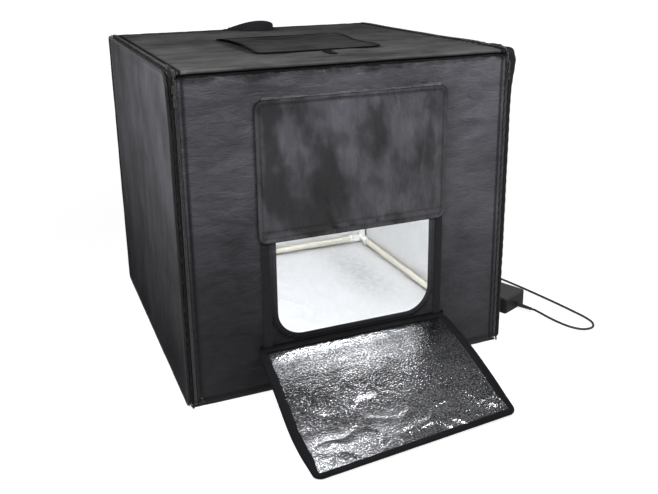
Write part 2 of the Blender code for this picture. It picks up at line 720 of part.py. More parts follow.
def even_profile(out_shares, height_shares):
    """A side's profile at even steps along it, as (out, height) points, and its length."""
    fine = 96
    points = [Vector((LOWER_FLAP_REACH * along_table(out_shares, i / fine),
                      LOWER_FLAP_HINGE * along_table(height_shares, i / fine))) for i in range(fine + 1)]
    lengths = [0]
    for first, second in zip(points, points[1:]):
        lengths.append(lengths[-1] + (second - first).length)
    even = []
    steps = 24
    for step in range(steps + 1):
        wanted = lengths[-1] * step / steps
        i = max(j for j in range(fine) if lengths[j] <= wanted)
        even.append(points[i].lerp(points[i + 1], (wanted - lengths[i]) / (lengths[i + 1] - lengths[i])))
    return even, lengths[-1]


LEFT_PROFILE, LEFT_LENGTH = even_profile(LEFT_OUT_SHARES, LEFT_HEIGHT_SHARES)
RIGHT_PROFILE, RIGHT_LENGTH = even_profile(RIGHT_OUT_SHARES, RIGHT_HEIGHT_SHARES)
FLAP_LENGTH = min(LEFT_LENGTH, RIGHT_LENGTH)


def lower_flap_point(x, share):
    """The lower flap's upper face, from its hinge line out and down to the ground."""
    right = min(max(x / LOWER_FLAP_WIDTH + 0.5, 0), 1)
    left, far = along_table(LEFT_PROFILE, share), along_table(RIGHT_PROFILE, share)
    out, height = left + (far - left) * right
    return Vector((x, LOWER_FLAP_HINGE_LINE[0] - out, height))


def build_lower_flap(cloth, foil, trim):
    """The lower flap's cloth, its silver facing and the binding round its free edges."""
    hinge = (0, *LOWER_FLAP_HINGE_LINE)
    half = LOWER_FLAP_WIDTH / 2 - BINDING_WIDTH - BINDING_SEAT
    free_share = 1 - (BINDING_WIDTH + BINDING_SEAT) / FLAP_LENGTH
    near_share = GAP / FLAP_LENGTH

    def facing_point(x, share):
        return lower_flap_point(x, near_share + (free_share - near_share) * share)

    def cloth_point(x, share):
        place, out = place_and_normal(facing_point, x, share)
        return place - out * (LINING + GAP)

    facing = bmesh.new()
    sheet(facing, facing_point, half, LINING, 8, 16)
    part("lower_flap_facing", facing, foil, hinge)
    backing = bmesh.new()
    sheet(backing, cloth_point, half, CLOTH, 8, 16)
    part("lower_flap_cloth", backing, cloth, hinge)
    part("lower_flap_binding", binding(), trim, hinge)


def binding():
    """The thick binding down the left edge, round the free edge and up the right edge."""
    centre = LOWER_FLAP_WIDTH / 2 - BINDING_WIDTH / 2
    near = BINDING_START / FLAP_LENGTH
    far = 1 - BINDING_WIDTH / 2 / FLAP_LENGTH
    turn_x = LOWER_FLAP_CORNER - BINDING_WIDTH / 2
    turn = turn_x / FLAP_LENGTH
    side_steps = 14
    route = [(-centre, near + (far - turn - near) * i / side_steps) for i in range(side_steps)]
    for step in range(4):
        angle = math.pi / 2 * step / 3
        route.append((-centre + turn_x * (1 - math.cos(angle)), far - turn * (1 - math.sin(angle))))
    straight = 8
    edge = centre - turn_x
    route += [(-edge + 2 * edge * i / straight, far) for i in range(1, straight)]
    route += [(-x, share) for x, share in reversed(route[:side_steps + 4])]
    places, normals = [], []
    for x, share in route:
        place, out = place_and_normal(lower_flap_point, x, share)
        places.append(place)
        normals.append(out)
    stations = []
    last = len(route) - 1
    for i, (place, out) in enumerate(zip(places, normals)):
        along = (places[min(i + 1, last)] - places[max(i - 1, 0)]).normalized()
        stations.append((place, along.cross(out).normalized(), out))
    top = BINDING_PROUD
    half = BINDING_WIDTH / 2
    outline = rounded(-half, top - BINDING, half, top, (BINDING / 3,) * 4, 2)
    made = bmesh.new()
    sweep(made, outline, stations)
    return made


def build_light_bars(housing, board_green, frosted):
    """Two light bars that hang on the top side rails by clips and slide along them."""
    clip_outer = TUBE_RADIUS + GAP + CLIP_WALL
    half = CORNER_X - clip_outer - BAR_END_SPACE / 2
    top = CORNER_HIGH + CLIP_WALL
    low = top - BAR_HEIGHT
    inner = BAR_WIDTH / 2 - BAR_WALL
    for end, y in (("front", -BAR_FROM_MIDDLE), ("rear", BAR_FROM_MIDDLE)):
        place = (0, y, CORNER_HIGH)
        channel = bmesh.new()
        block(channel, (-half, y - BAR_WIDTH / 2, low), (half, y + BAR_WIDTH / 2, top))
        hollow = bmesh.new()
        inner_end = half - BAR_WALL
        block(hollow, (-inner_end, y - inner, low - CUT_OVERRUN), (inner_end, y + inner, top - BAR_WALL))
        steps = [("DIFFERENCE", hollow)] + clip_steps(y, top, half)
        part(f"light_bar_{end}_housing", combined(channel, steps), housing, place)
        board_half = inner_end - GAP
        board_top = top - BAR_WALL - GAP
        board = light_board(y, board_half, inner - GAP, board_top)
        part(f"light_bar_{end}_board", board, board_green, place)
        diffuser = bmesh.new()
        block(diffuser, (-board_half, y - inner + GAP, low + GAP),
              (board_half, y + inner - GAP, low + GAP + BAR_DIFFUSER))
        part(f"light_bar_{end}_diffuser", diffuser, frosted, place)


def light_board(y, half, wide, top):
    """A circuit board with a row of light chips on its underside, in one piece."""
    count = int(2 * half / BAR_CHIP_PITCH)
    start = -BAR_CHIP_PITCH * (count - 1) / 2
    low = top - BAR_BOARD
    board = bmesh.new()
    block(board, (-half, y - wide, low), (half, y + wide, top))
    chips = bmesh.new()
    for number in range(count):
        x = start + number * BAR_CHIP_PITCH
        block(chips, (x - BAR_CHIP / 2, y - BAR_CHIP / 2, low - BAR_CHIP_HEIGHT),
              (x + BAR_CHIP / 2, y + BAR_CHIP / 2, low + BAR_BOARD / 2))
    return combined(board, [("UNION", chips)])


def clip_steps(y, bar_top, bar_end):
    """The two clips of a light bar, each a ring round a rail with a web to the bar's end."""
    bore = TUBE_RADIUS + GAP
    outer = bore + CLIP_WALL
    near, far = y - CLIP_WIDTH / 2, y + CLIP_WIDTH / 2
    steps = []
    for sign in (-1, 1):
        ring = bmesh.new()
        rod(ring, (sign * CORNER_X, near, CORNER_HIGH), (sign * CORNER_X, far, CORNER_HIGH), outer)
        web = bmesh.new()
        ends = sorted((sign * (CORNER_X - outer / 2), sign * (bar_end - BAR_WALL / 2)))
        block(web, (ends[0], near, bar_top - BAR_HEIGHT * WEB_HEIGHT_SHARE), (ends[1], far, bar_top))
        hole = bmesh.new()
        rod(hole, (sign * CORNER_X, near - CUT_OVERRUN, CORNER_HIGH),
            (sign * CORNER_X, far + CUT_OVERRUN, CORNER_HIGH), bore)
        steps += [("UNION", ring), ("UNION", web), ("DIFFERENCE", hole)]
    return steps


def adapter_place():
    """An empty at the foot of the adapter's front end, turned as the adapter lies."""
    empty = bpy.data.objects.new("adapter_place", None)
    empty.location = (*ADAPTER_PLACE, 0)
    empty.rotation_euler = (0, 0, ADAPTER_YAW)
    bpy.context.scene.collection.objects.link(empty)
    return empty


def adapter_shell(low, high, floor_at):
    """Half of the adapter's case, open towards the parting plane."""
    half = ADAPTER_WIDTH / 2
    outline = rounded(-half, 0, half, ADAPTER_LENGTH, (ADAPTER_CORNER,) * 4)
    outer = bmesh.new()
    slab(outer, outline, "Z", low, high)
    bmesh.ops.recalc_face_normals(outer, faces=outer.faces)
    face = [f for f in outer.faces if all(abs(v.co.z - floor_at) < GAP for v in f.verts)]
    edges = list({edge for f in face for edge in f.edges})
    bmesh.ops.bevel(outer, geom=edges, offset=ADAPTER_EDGE, segments=2, affect="EDGES")
    inner = bmesh.new()
    wall = ADAPTER_WALL
    corner = ADAPTER_CORNER - wall
    outline = rounded(-half + wall, wall, half - wall, ADAPTER_LENGTH - wall, (corner,) * 4)
    if floor_at == low:
        slab(inner, outline, "Z", low + wall, high + CUT_OVERRUN)
    else:
        slab(inner, outline, "Z", low - CUT_OVERRUN, high - wall)
    return outer, inner


def build_adapter(case, dark, board_green, trim):
    """The adapter's two shells, its inlet, its board and the lead's strain relief."""
    empty = adapter_place()
    parting = ADAPTER_HEIGHT / 2
    seat = bmesh.new()
    clear = INLET_WIDTH / 2 + GAP
    block(seat, (-clear, ADAPTER_LENGTH - INLET_DEPTH / 2, parting - INLET_HEIGHT / 2 - GAP),
          (clear, ADAPTER_LENGTH + CUT_OVERRUN, parting + INLET_HEIGHT / 2 + GAP))
    seat_copy = seat.copy()
    relief_hole = bmesh.new()
    rod(relief_hole, (RELIEF_SIDE, -CUT_OVERRUN, RELIEF_HEIGHT),
        (RELIEF_SIDE, ADAPTER_WALL + CUT_OVERRUN, RELIEF_HEIGHT), RELIEF_NECK_RADIUS + GAP)
    outer, inner = adapter_shell(0, parting - GAP / 2, 0)
    lower = combined(outer, [("DIFFERENCE", inner), ("DIFFERENCE", seat), ("DIFFERENCE", relief_hole)])
    outer, inner = adapter_shell(parting + GAP / 2, ADAPTER_HEIGHT, ADAPTER_HEIGHT)
    upper = combined(outer, [("DIFFERENCE", inner), ("DIFFERENCE", seat_copy)])
    pieces = [part("adapter_lower_shell", lower, case), part("adapter_upper_shell", upper, case)]
    pieces.append(part("adapter_inlet", inlet(parting), dark))
    pieces.append(part("adapter_board", adapter_board(), board_green))
    pieces.append(part("lead_strain_relief", strain_relief(), trim))
    for piece in pieces:
        piece.parent = empty


def inlet(middle):
    """The mains inlet: a cup with two pins, open to the back."""
    half, high = INLET_WIDTH / 2, INLET_HEIGHT / 2
    back = ADAPTER_LENGTH
    cup = bmesh.new()
    block(cup, (-half, back - INLET_DEPTH, middle - high), (half, back, middle + high))
    hollow = bmesh.new()
    bottom = back - INLET_DEPTH + INLET_WALL
    block(hollow, (-half + INLET_WALL, bottom, middle - high + INLET_WALL),
          (half - INLET_WALL, back + CUT_OVERRUN, middle + high - INLET_WALL))
    steps = [("DIFFERENCE", hollow)]
    for sign in (-1, 1):
        pin = bmesh.new()
        x = sign * INLET_PIN_SPACING / 2
        rod(pin, (x, bottom - INLET_WALL / 2, middle), (x, bottom + INLET_PIN_LENGTH, middle),
            INLET_PIN_RADIUS, 8)
        steps.append(("UNION", pin))
    return combined(cup, steps)


def adapter_board():
    """The circuit board with its transformer, choke and capacitor."""
    half = ADAPTER_WIDTH / 2 - ADAPTER_WALL - GAP
    near = ADAPTER_WALL + RELIEF_FLANGE + RELIEF_GROOVE
    far = ADAPTER_LENGTH - INLET_DEPTH - GAP
    low = ADAPTER_WALL + GAP
    top = low + ADAPTER_BOARD
    board = bmesh.new()
    corner = ADAPTER_CORNER - ADAPTER_WALL
    relief_room = near + ADAPTER_BOARD_HEIGHT
    slab(board, rounded(-half, relief_room, half, far, (corner,) * 4), "Z", low, top)
    high = ADAPTER_HEIGHT - ADAPTER_WALL - ADAPTER_BOARD_HEIGHT
    length = far - relief_room
    foot = top - ADAPTER_BOARD / 2
    steps = []
    for x_shares, y_shares, height_share in (TRANSFORMER_SHARES, CHOKE_SHARES):
        coil = bmesh.new()
        block(coil, (half * x_shares[0], relief_room + length * y_shares[0], foot),
              (half * x_shares[1], relief_room + length * y_shares[1], high * height_share))
        steps.append(("UNION", coil))
    x_share, y_share, radius_share = CAPACITOR_SHARES
    x, y = half * x_share, relief_room + length * y_share
    capacitor = bmesh.new()
    rod(capacitor, (x, y, foot), (x, y, high), half * radius_share, 12)
    return combined(board, [*steps, ("UNION", capacitor)])


def strain_relief():
    """The ribbed, tapered sleeve that the lead leaves the adapter through."""
    inside = ADAPTER_WALL + GAP
    profile = [(-inside - RELIEF_FLANGE, RELIEF_ROOT_RADIUS), (-inside, RELIEF_ROOT_RADIUS),
               (-inside, RELIEF_NECK_RADIUS), (GAP, RELIEF_NECK_RADIUS), (GAP, RELIEF_ROOT_RADIUS)]
    pitch = RELIEF_LENGTH / (RELIEF_RIBS + 1)
    for rib in range(1, RELIEF_RIBS + 1):
        share = rib / (RELIEF_RIBS + 1)
        radius = RELIEF_ROOT_RADIUS + (RELIEF_TIP_RADIUS - RELIEF_ROOT_RADIUS) * share
        at = pitch * rib
        side = pitch * RIB_SHARE
        profile += [(at - side, radius), (at - side, radius - RELIEF_GROOVE),
                    (at + side, radius - RELIEF_GROOVE), (at + side, radius)]
    profile.append((RELIEF_LENGTH, RELIEF_TIP_RADIUS))
    made = bmesh.new()
    turned(made, profile, (RELIEF_SIDE, 0, RELIEF_HEIGHT), -Y, 12)
    return made


def relief_tip():
    """The middle of the strain relief's tip, and the way that it points."""
    turn = Matrix.Rotation(ADAPTER_YAW, 3, "Z")
    foot = Vector((*ADAPTER_PLACE, 0))
    tip = foot + turn @ Vector((RELIEF_SIDE, -RELIEF_LENGTH, RELIEF_HEIGHT))
    return tip, turn @ -Y


def coil_size():
    """The coil's first radius, and how far it moves in over its turns."""
    pitch = LEAD_DIAMETER + COIL_TURN_GAP
    inward = pitch * COIL_TURNS_A_LAYER
    return COIL_MEAN_RADIUS + inward / 2, inward


def coil_points():
    """The coil's centre line: in over the lower layer, up where it turns back, and out again."""
    first_radius, inward = coil_size()
    lower = LEAD_GROUND + LEAD_DIAMETER / 2
    climb = LEAD_DIAMETER + COIL_LAYER_GAP
    points = []
    count = 2 * COIL_TURNS_A_LAYER * COIL_POINTS_A_TURN
    for number in range(count + 1):
        turns = number / COIL_POINTS_A_TURN
        from_middle = turns - COIL_TURNS_A_LAYER
        radius = first_radius - inward * (1 - abs(from_middle) / COIL_TURNS_A_LAYER)
        share = min(max(from_middle / 0.5 + 0.5, 0), 1)
        height = lower + climb * share * share * (3 - 2 * share)
        angle = 2 * math.pi * turns
        points.append(Vector((COIL_CENTRE[0] + radius * math.cos(angle),
                              COIL_CENTRE[1] + radius * math.sin(angle), height)))
    entry = Vector((points[0].x, points[0].y - LEAD_DIAMETER, points[0].z))
    leave = [Vector((points[-1].x, points[-1].y + LEAD_DIAMETER, points[-1].z)),
             Vector((points[-1].x, points[-1].y + LEAD_DIAMETER * 2, points[-1].z))]
    return [entry] + points + leave


def report_coil_gap(points):
    """Print the coil's least gap to itself, measured from point to point."""
    least = TENT_WIDTH
    for i, first in enumerate(points):
        for second in points[i + COIL_POINTS_A_TURN // 2:]:
            least = min(least, (first - second).length)
    print("coil's least gap to itself, mm:", round((least - LEAD_DIAMETER) / MM, 2))


def tube_curve(name, points, sides_step, look):
    """A round cord through points, with closed ends."""
    data = bpy.data.curves.new(name, "CURVE")
    data.dimensions = "3D"
    data.bevel_depth = LEAD_DIAMETER / 2
    data.bevel_resolution = sides_step
    data.use_fill_caps = True
    spline = data.splines.new("POLY")
    spline.points.add(len(points) - 1)
    for point, place in zip(spline.points, points):
        point.co = (*place, 1)
    data.materials.append(look)
    made = bpy.data.objects.new(name, data)
    bpy.context.scene.collection.objects.link(made)


def smooth_route(places, spacing):
    """Points at even spacing on a smooth curve through chosen places."""
    fine = []
    steps = 16
    last = len(places) - 1
    for i in range(last):
        a, b = places[i], places[i + 1]
        before = places[i - 1] if i > 0 else 2 * a - b
        after = places[i + 2] if i + 2 <= last else 2 * b - a
        for step in range(steps):
            t = step / steps
            start, end = (b - before) / 2, (after - a) / 2
            fine.append(a * (2 * t ** 3 - 3 * t ** 2 + 1) + start * (t ** 3 - 2 * t ** 2 + t)
                        + b * (3 * t ** 2 - 2 * t ** 3) + end * (t ** 3 - t ** 2))
    fine.append(places[-1])
    length = sum((second - first).length for first, second in zip(fine, fine[1:]))
    count = round(length / spacing)
    even, walked, target = [fine[0]], 0, length / count
    for first, second in zip(fine, fine[1:]):
        span = (second - first).length
        while walked + span >= target and len(even) < count:
            even.append(first.lerp(second, (target - walked) / span))
            target += length / count
        walked += span
    even.append(fine[-1])
    print("lead's free run, mm:", round(length / MM, 1))
    return even


def lead_route():
    """Places that the lead passes on its way from the adapter to the coil."""
    tip, out = relief_tip()
    start = tip + out * GAP
    straight = start + out * (2 * LEAD_DIAMETER)
    flat = LEAD_GROUND + LEAD_DIAMETER / 2
    places = [start, straight]
    for from_side, from_front, rise in LEAD_ROUTE:
        places.append(Vector((HALF_WIDTH + from_side, -HALF_DEPTH + from_front, flat + rise)))
    entry = coil_points()[0]
    places.append(entry - Y * (3 * LEAD_DIAMETER))
    places.append(entry - Y * GAP)
    return places


def build_lead(rubber, dark):
    """The adapter's lead: its free run, its coil and the connector on its end."""
    tube_curve("lead_free_run", smooth_route(lead_route(), 2.5 * LEAD_DIAMETER), 2, rubber)
    points = coil_points()
    report_coil_gap(points)
    tube_curve("lead_coil", points, 1, rubber)
    end = points[-1]
    connector = bmesh.new()
    taper = LEAD_DIAMETER / 2 + GAP
    shoulder = CONNECTOR_LENGTH / 3
    profile = [(GAP, taper), (shoulder, CONNECTOR_RADIUS), (CONNECTOR_LENGTH, CONNECTOR_RADIUS),
               (CONNECTOR_LENGTH, BARREL_RADIUS), (CONNECTOR_LENGTH + BARREL_LENGTH, BARREL_RADIUS)]
    turned(connector, profile, end, Y, 14)
    part("lead_connector", connector, dark, end)


def build_all():
    cloth = surface("black_coated_cloth", (0.035, 0.035, 0.038), 0.42)
    foil = surface("silver_foil", (0.78, 0.79, 0.80), 0.3, 0.9)
    trim = surface("black_binding", (0.015, 0.015, 0.015), 0.5)
    tape = surface("zip_tape", (0.02, 0.02, 0.02), 0.7)
    zip_metal = surface("zip_metal", (0.3, 0.3, 0.3), 0.35, 0.9)
    tube = surface("frame_tube", (0.7, 0.68, 0.63), 0.35, 0.8)
    white = surface("white_moulding", (0.82, 0.82, 0.8), 0.45)
    webbing = surface("black_webbing", (0.02, 0.02, 0.022), 0.75)
    loop_tape = surface("loop_tape", (0.02, 0.02, 0.02), 0.9)
    bar_white = surface("bar_housing", (0.8, 0.8, 0.8), 0.4)
    board_green = surface("circuit_board", (0.05, 0.2, 0.08), 0.5)
    frosted = surface("frosted_cover", (0.9, 0.9, 0.9), 0.5)
    case = surface("adapter_case", (0.02, 0.02, 0.02), 0.5)
    rubber = surface("lead_rubber", (0.015, 0.015, 0.015), 0.55)
    build_frame(tube, white)
    build_tub(cloth, foil, trim)
    build_zips(tape, zip_metal)
    build_roof(cloth, foil, webbing)
    build_door(cloth, foil, loop_tape)
    build_lower_flap(cloth, foil, trim)
    build_light_bars(bar_white, board_green, frosted)
    build_adapter(case, trim, board_green, rubber)
    build_lead(rubber, trim)


remove_everything()
build_all()
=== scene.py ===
"""Light tent cube in its finished look: coated cloth, silver lining, zips, flaps, frame and adapter.

Metres, +Z up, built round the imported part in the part's own frame.
"""
import logging
import math
from dataclasses import dataclass
from enum import Enum
from typing import Any, Callable, Optional, Sequence

import bmesh
import bpy
from mathutils import Matrix, Vector, noise
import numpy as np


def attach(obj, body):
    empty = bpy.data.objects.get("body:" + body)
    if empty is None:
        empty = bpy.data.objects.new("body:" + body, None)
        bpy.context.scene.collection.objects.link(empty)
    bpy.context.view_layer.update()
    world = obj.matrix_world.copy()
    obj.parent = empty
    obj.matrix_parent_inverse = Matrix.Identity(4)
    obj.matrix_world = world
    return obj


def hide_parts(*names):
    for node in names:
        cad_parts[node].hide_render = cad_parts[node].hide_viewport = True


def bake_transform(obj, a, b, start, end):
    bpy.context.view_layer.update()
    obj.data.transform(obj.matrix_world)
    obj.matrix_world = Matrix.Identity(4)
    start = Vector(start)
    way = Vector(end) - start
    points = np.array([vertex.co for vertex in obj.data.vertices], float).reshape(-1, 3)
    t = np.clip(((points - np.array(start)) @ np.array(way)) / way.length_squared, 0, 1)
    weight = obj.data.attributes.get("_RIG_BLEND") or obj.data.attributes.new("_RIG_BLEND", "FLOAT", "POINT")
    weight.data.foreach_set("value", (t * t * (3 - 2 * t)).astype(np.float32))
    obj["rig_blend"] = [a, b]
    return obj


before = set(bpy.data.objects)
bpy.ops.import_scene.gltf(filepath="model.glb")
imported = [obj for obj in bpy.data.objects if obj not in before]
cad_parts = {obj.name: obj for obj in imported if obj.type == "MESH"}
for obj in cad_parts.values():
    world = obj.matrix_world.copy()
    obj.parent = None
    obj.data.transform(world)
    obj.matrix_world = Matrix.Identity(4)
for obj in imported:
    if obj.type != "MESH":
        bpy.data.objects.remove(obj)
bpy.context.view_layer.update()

MM = 0.001
DEGREE = math.pi / 180
CURVE_STEPS = 16
X, Y, Z = Vector((1, 0, 0)), Vector((0, 1, 0)), Vector((0, 0, 1))

Outline = list[tuple[float, float]]
Box = tuple[float, float, float, float]
Triple = tuple[float, float, float]
Place = Callable[[float, float, float], Vector]
Lift = Callable[[float, float], float]
Station = tuple[Vector, Vector, Vector]
Folds = tuple[tuple[float, ...], ...]
Shape = bmesh.types.BMesh
Look = bpy.types.Material
Piece = bpy.types.Object

log = logging.getLogger("light_tent")


class Side(Enum):
    """The tent's two sides, with the sign of their X."""

    LEFT = -1
    RIGHT = 1

    @property
    def word(self) -> str:
        """The side's name in a node's name."""
        return self.name.lower()


@dataclass(frozen=True)
class Sizes:
    """Main sizes of the tent, which every sub-assembly shares."""

    half: float = 300 * MM
    height: float = 555 * MM
    cloth: float = 1.3 * MM
    foil: float = 0.5 * MM
    piping_x: float = 299 * MM
    piping_radius: float = 3 * MM
    strip_edge: float = 295.7 * MM
    zip_line: float = 287.2 * MM
    lid_edge: float = 286.9 * MM
    seam_x: float = 278.9 * MM
    nose: float = 10 * MM
    door_top: float = 544.7 * MM
    zip_foot: float = 8 * MM
    lead: float = 4.5 * MM


SIZES = Sizes()


# Shapes that the sub-assemblies share


def smooth(value: float, low: float, high: float) -> float:
    """Go smoothly from 0 at low to 1 at high."""
    share = min(max((value - low) / (high - low), 0.0), 1.0)
    return share * share * (3 - 2 * share)


def ramp(value: float, low: float, high: float) -> float:
    """Go smoothly from 0 at low to 1 at high, both given in millimetres."""
    return smooth(value, low * MM, high * MM)


def hump(value: float, middle: float, width: float) -> float:
    """A soft bump of height 1 round the middle."""
    return math.exp(-(((value - middle) / width) ** 2))


def field(a: float, b: float, size_a: float, size_b: float, seed: float, octaves: int = 3) -> float:
    """A smooth random value, about -1 to 1, with features of the given sizes in millimetres."""
    return noise.fractal(Vector((a / (size_a * MM), b / (size_b * MM), seed)), 0.9, 2.1, octaves)


def waves(height: float, a: float, b: float, size_a: float, size_b: float, seed: float,
          octaves: int = 3) -> float:
    """A smooth random height in metres; its most and its features' sizes are given in millimetres."""
    return height * MM * field(a, b, size_a, size_b, seed, octaves)


def ridges(a: float, b: float, size_a: float, size_b: float, seed: float) -> float:
    """Random sharp creases, about 0 to 1, with spacings given in millimetres."""
    value = noise.noise(Vector((a / (size_a * MM), b / (size_b * MM), seed)))
    return max(0.0, 1 - abs(value) * 4.5) ** 2


def stroke(a: float, b: float, line: Sequence[float]) -> float:
    """The height at a place of one fold that runs from one point to another.

    Args:
        a: the place's first coordinate.
        b: the place's second coordinate.
        line: start a and b, end a and b, half width and height of the fold.

    Returns:
        The fold's height there, fading along both its ends.
    """
    start_a, start_b, end_a, end_b, width, height = line
    run_a, run_b = end_a - start_a, end_b - start_b
    length = math.hypot(run_a, run_b)
    along = ((a - start_a) * run_a + (b - start_b) * run_b) / length**2
    if not -0.15 < along < 1.15:
        return 0.0
    across = ((a - start_a) * run_b - (b - start_b) * run_a) / length
    if abs(across) > 3 * width:
        return 0.0
    fade = smooth(along, -0.15, 0.25) * (1 - smooth(along, 0.75, 1.15))
    return height * fade * hump(across, 0, width)


def inside(a: float, b: float, box: Sequence[float], radius: float) -> float:
    """How far a place is inside a rounded rectangle; below zero outside it.

    Args:
        a: the place's first coordinate.
        b: the place's second coordinate.
        box: left, bottom, right and top.
        radius: the corners' radius.

    Returns:
        The distance to the nearest edge.
    """
    left, bottom, right, top = box
    off_a = abs(a - (left + right) / 2) - (right - left) / 2 + radius
    off_b = abs(b - (bottom + top) / 2) - (top - bottom) / 2 + radius
    outside = math.hypot(max(off_a, 0), max(off_b, 0))
    return radius - outside - min(max(off_a, off_b), 0)


def rounded(box: Sequence[float], radii: Sequence[float], steps: int = 8) -> Outline:
    """A rectangle's outline with rounded corners.

    Args:
        box: left, bottom, right and top.
        radii: those of the corners bottom left, bottom right, top right and top left.
        steps: the edges in each corner.

    Returns:
        Points round the outline.
    """
    left, bottom, right, top = box
    corners = ((left, bottom, 1, 1), (right, bottom, -1, 1), (right, top, -1, -1), (left, top, 1, -1))
    points = []
    for number, ((a, b, in_a, in_b), radius) in enumerate(zip(corners, radii)):
        for step in range(steps + 1):
            angle = math.pi * (1 + number / 2 + step / steps / 2)
            points.append((a + radius * (in_a + math.cos(angle)), b + radius * (in_b + math.sin(angle))))
    return points


def circle(radius: float, sides: int) -> Outline:
    """Points round a circle."""
    turn = 2 * math.pi / sides
    return [(radius * math.cos(turn * i), radius * math.sin(turn * i)) for i in range(sides)]


def in_mm(points: Sequence[tuple[float, float]]) -> Outline:
    """Points in metres, from points in millimetres."""
    return [(a * MM, b * MM) for a, b in points]


def grown(box: Sequence[float], by: float) -> Box:
    """A box with every side moved out."""
    left, bottom, right, top = box
    return (left - by, bottom - by, right + by, top + by)


def oblong(half_a: float, half_b: float) -> Outline:
    """A rectangle round the origin, in millimetres."""
    return in_mm([(-half_a, -half_b), (half_a, -half_b), (half_a, half_b), (-half_a, half_b)])


def dense(route: Outline, step: float) -> Outline:
    """Points at an even spacing along a route, without its last point."""
    points = []
    for (a, b), (c, d) in zip(route, route[1:]):
        count = max(1, round(math.dist((a, b), (c, d)) / step))
        points += [(a + (c - a) * i / count, b + (d - b) * i / count) for i in range(count)]
    return points


def meshed(name: str, shape: Shape) -> bpy.types.Mesh:
    """Turn a shape into a mesh, and free it."""
    mesh = bpy.data.meshes.new(name)
    shape.to_mesh(mesh)
    shape.free()
    return mesh


def linked(name: str, data: Any) -> Piece:
    """Put a new object with its data in the scene."""
    made = bpy.data.objects.new(name, data)
    bpy.context.scene.collection.objects.link(made)
    return made


def laid_at(place: Vector, *directions: Vector) -> Matrix:
    """The matrix that lays X, Y and Z along three directions at a place."""
    turn = Matrix([[direction[i] for direction in directions] for i in range(3)])
    return Matrix.Translation(place) @ turn.to_4x4()


def finished(name: str, shape: Shape, look: Look, sharp: float = 42) -> Piece:
    """Turn a shape into a smooth shaded object at the origin.

    Args:
        name: the piece's name.
        shape: its mesh, which is freed.
        look: its material.
        sharp: the angle in degrees past which an edge stays sharp.

    Returns:
        The new object.
    """
    mesh = meshed(name, shape)
    mesh.shade_smooth()
    mesh.set_sharp_from_angle(angle=sharp * DEGREE)
    mesh.materials.clear()
    mesh.materials.append(look)
    return linked(name, mesh)


def prism(outline: Outline, low: float, high: float) -> Shape:
    """A flat outline drawn up from low to high."""
    shape = bmesh.new()
    rings = [[shape.verts.new((a, b, level)) for a, b in outline] for level in (low, high)]
    count = len(outline)
    for i in range(count):
        j = (i + 1) % count
        shape.faces.new((rings[0][i], rings[0][j], rings[1][j], rings[1][i]))
    shape.faces.new(rings[0])
    shape.faces.new(rings[1])
    bmesh.ops.recalc_face_normals(shape, faces=shape.faces)
    return shape


def combined(base: Shape, steps: Sequence[tuple[str, Shape]]) -> Shape:
    """Apply Boolean steps to a shape.

    Args:
        base: the shape to start from, which is freed.
        steps: pairs of an operation and the shape that does it.

    Returns:
        The resulting shape.
    """
    helpers = [linked("helper", meshed("helper", shape)) for shape in (base, *(tool for _, tool in steps))]
    for (operation, _), tool in zip(steps, helpers[1:]):
        step = helpers[0].modifiers.new(operation, "BOOLEAN")
        step.operation, step.solver, step.object = operation, "EXACT", tool
    evaluated = helpers[0].evaluated_get(bpy.context.evaluated_depsgraph_get())
    result = bmesh.new()
    result.from_mesh(evaluated.to_mesh())
    for helper in helpers:
        mesh = helper.data
        bpy.data.objects.remove(helper, do_unlink=True)
        bpy.data.meshes.remove(mesh)
    return result


def flat_slab(outline: Outline, holes: Sequence[Outline], thickness: float, pitch: float) -> Shape:
    """A flat slab of even squares, cut to an outline and its holes.

    Args:
        outline: the cut edge.
        holes: outlines of what is cut out.
        thickness: how far it goes below its upper face, which is at zero.
        pitch: the size of its squares.

    Returns:
        The slab, closed all round.
    """
    left, right = min(a for a, _ in outline) - pitch / 3, max(a for a, _ in outline) + pitch / 3
    bottom, top = min(b for _, b in outline) - pitch / 3, max(b for _, b in outline) + pitch / 3
    columns, rows = math.ceil((right - left) / pitch), math.ceil((top - bottom) / pitch)
    shape = bmesh.new()
    layers = []
    for level in (0, -thickness):
        layers.append([[shape.verts.new((left + (right - left) * i / columns,
                                         bottom + (top - bottom) * j / rows, level))
                        for i in range(columns + 1)] for j in range(rows + 1)])
    for number, layer in enumerate(layers):
        for j in range(rows):
            for i in range(columns):
                corners = (layer[j][i], layer[j][i + 1], layer[j + 1][i + 1], layer[j + 1][i])
                shape.faces.new(corners if number == 0 else corners[::-1])
    rim = [(i, 0) for i in range(columns)] + [(columns, j) for j in range(rows)]
    rim += [(i, rows) for i in range(columns, 0, -1)] + [(0, j) for j in range(rows, 0, -1)]
    for (i, j), (k, m) in zip(rim, rim[1:] + rim[:1]):
        shape.faces.new((layers[0][j][i], layers[1][j][i], layers[1][m][k], layers[0][m][k]))
    bmesh.ops.recalc_face_normals(shape, faces=shape.faces)
    steps = [("INTERSECT", prism(outline, -2 * thickness, thickness))]
    steps += [("DIFFERENCE", prism(hole, -3 * thickness, 2 * thickness)) for hole in holes]
    cut = combined(shape, steps)
    bmesh.ops.remove_doubles(cut, verts=cut.verts, dist=1e-6)
    bmesh.ops.triangulate(cut, faces=[face for face in cut.faces if len(face.verts) > 4])
    return cut


def box_slab(box: Sequence[float], radius: float, steps: int, thickness: float, pitch: float,
             holes: Sequence[Outline] = ()) -> Shape:
    """A flat slab with a box's outline, which has the same radius at its four corners."""
    return flat_slab(rounded(box, (radius,) * 4, steps), holes, thickness, pitch)


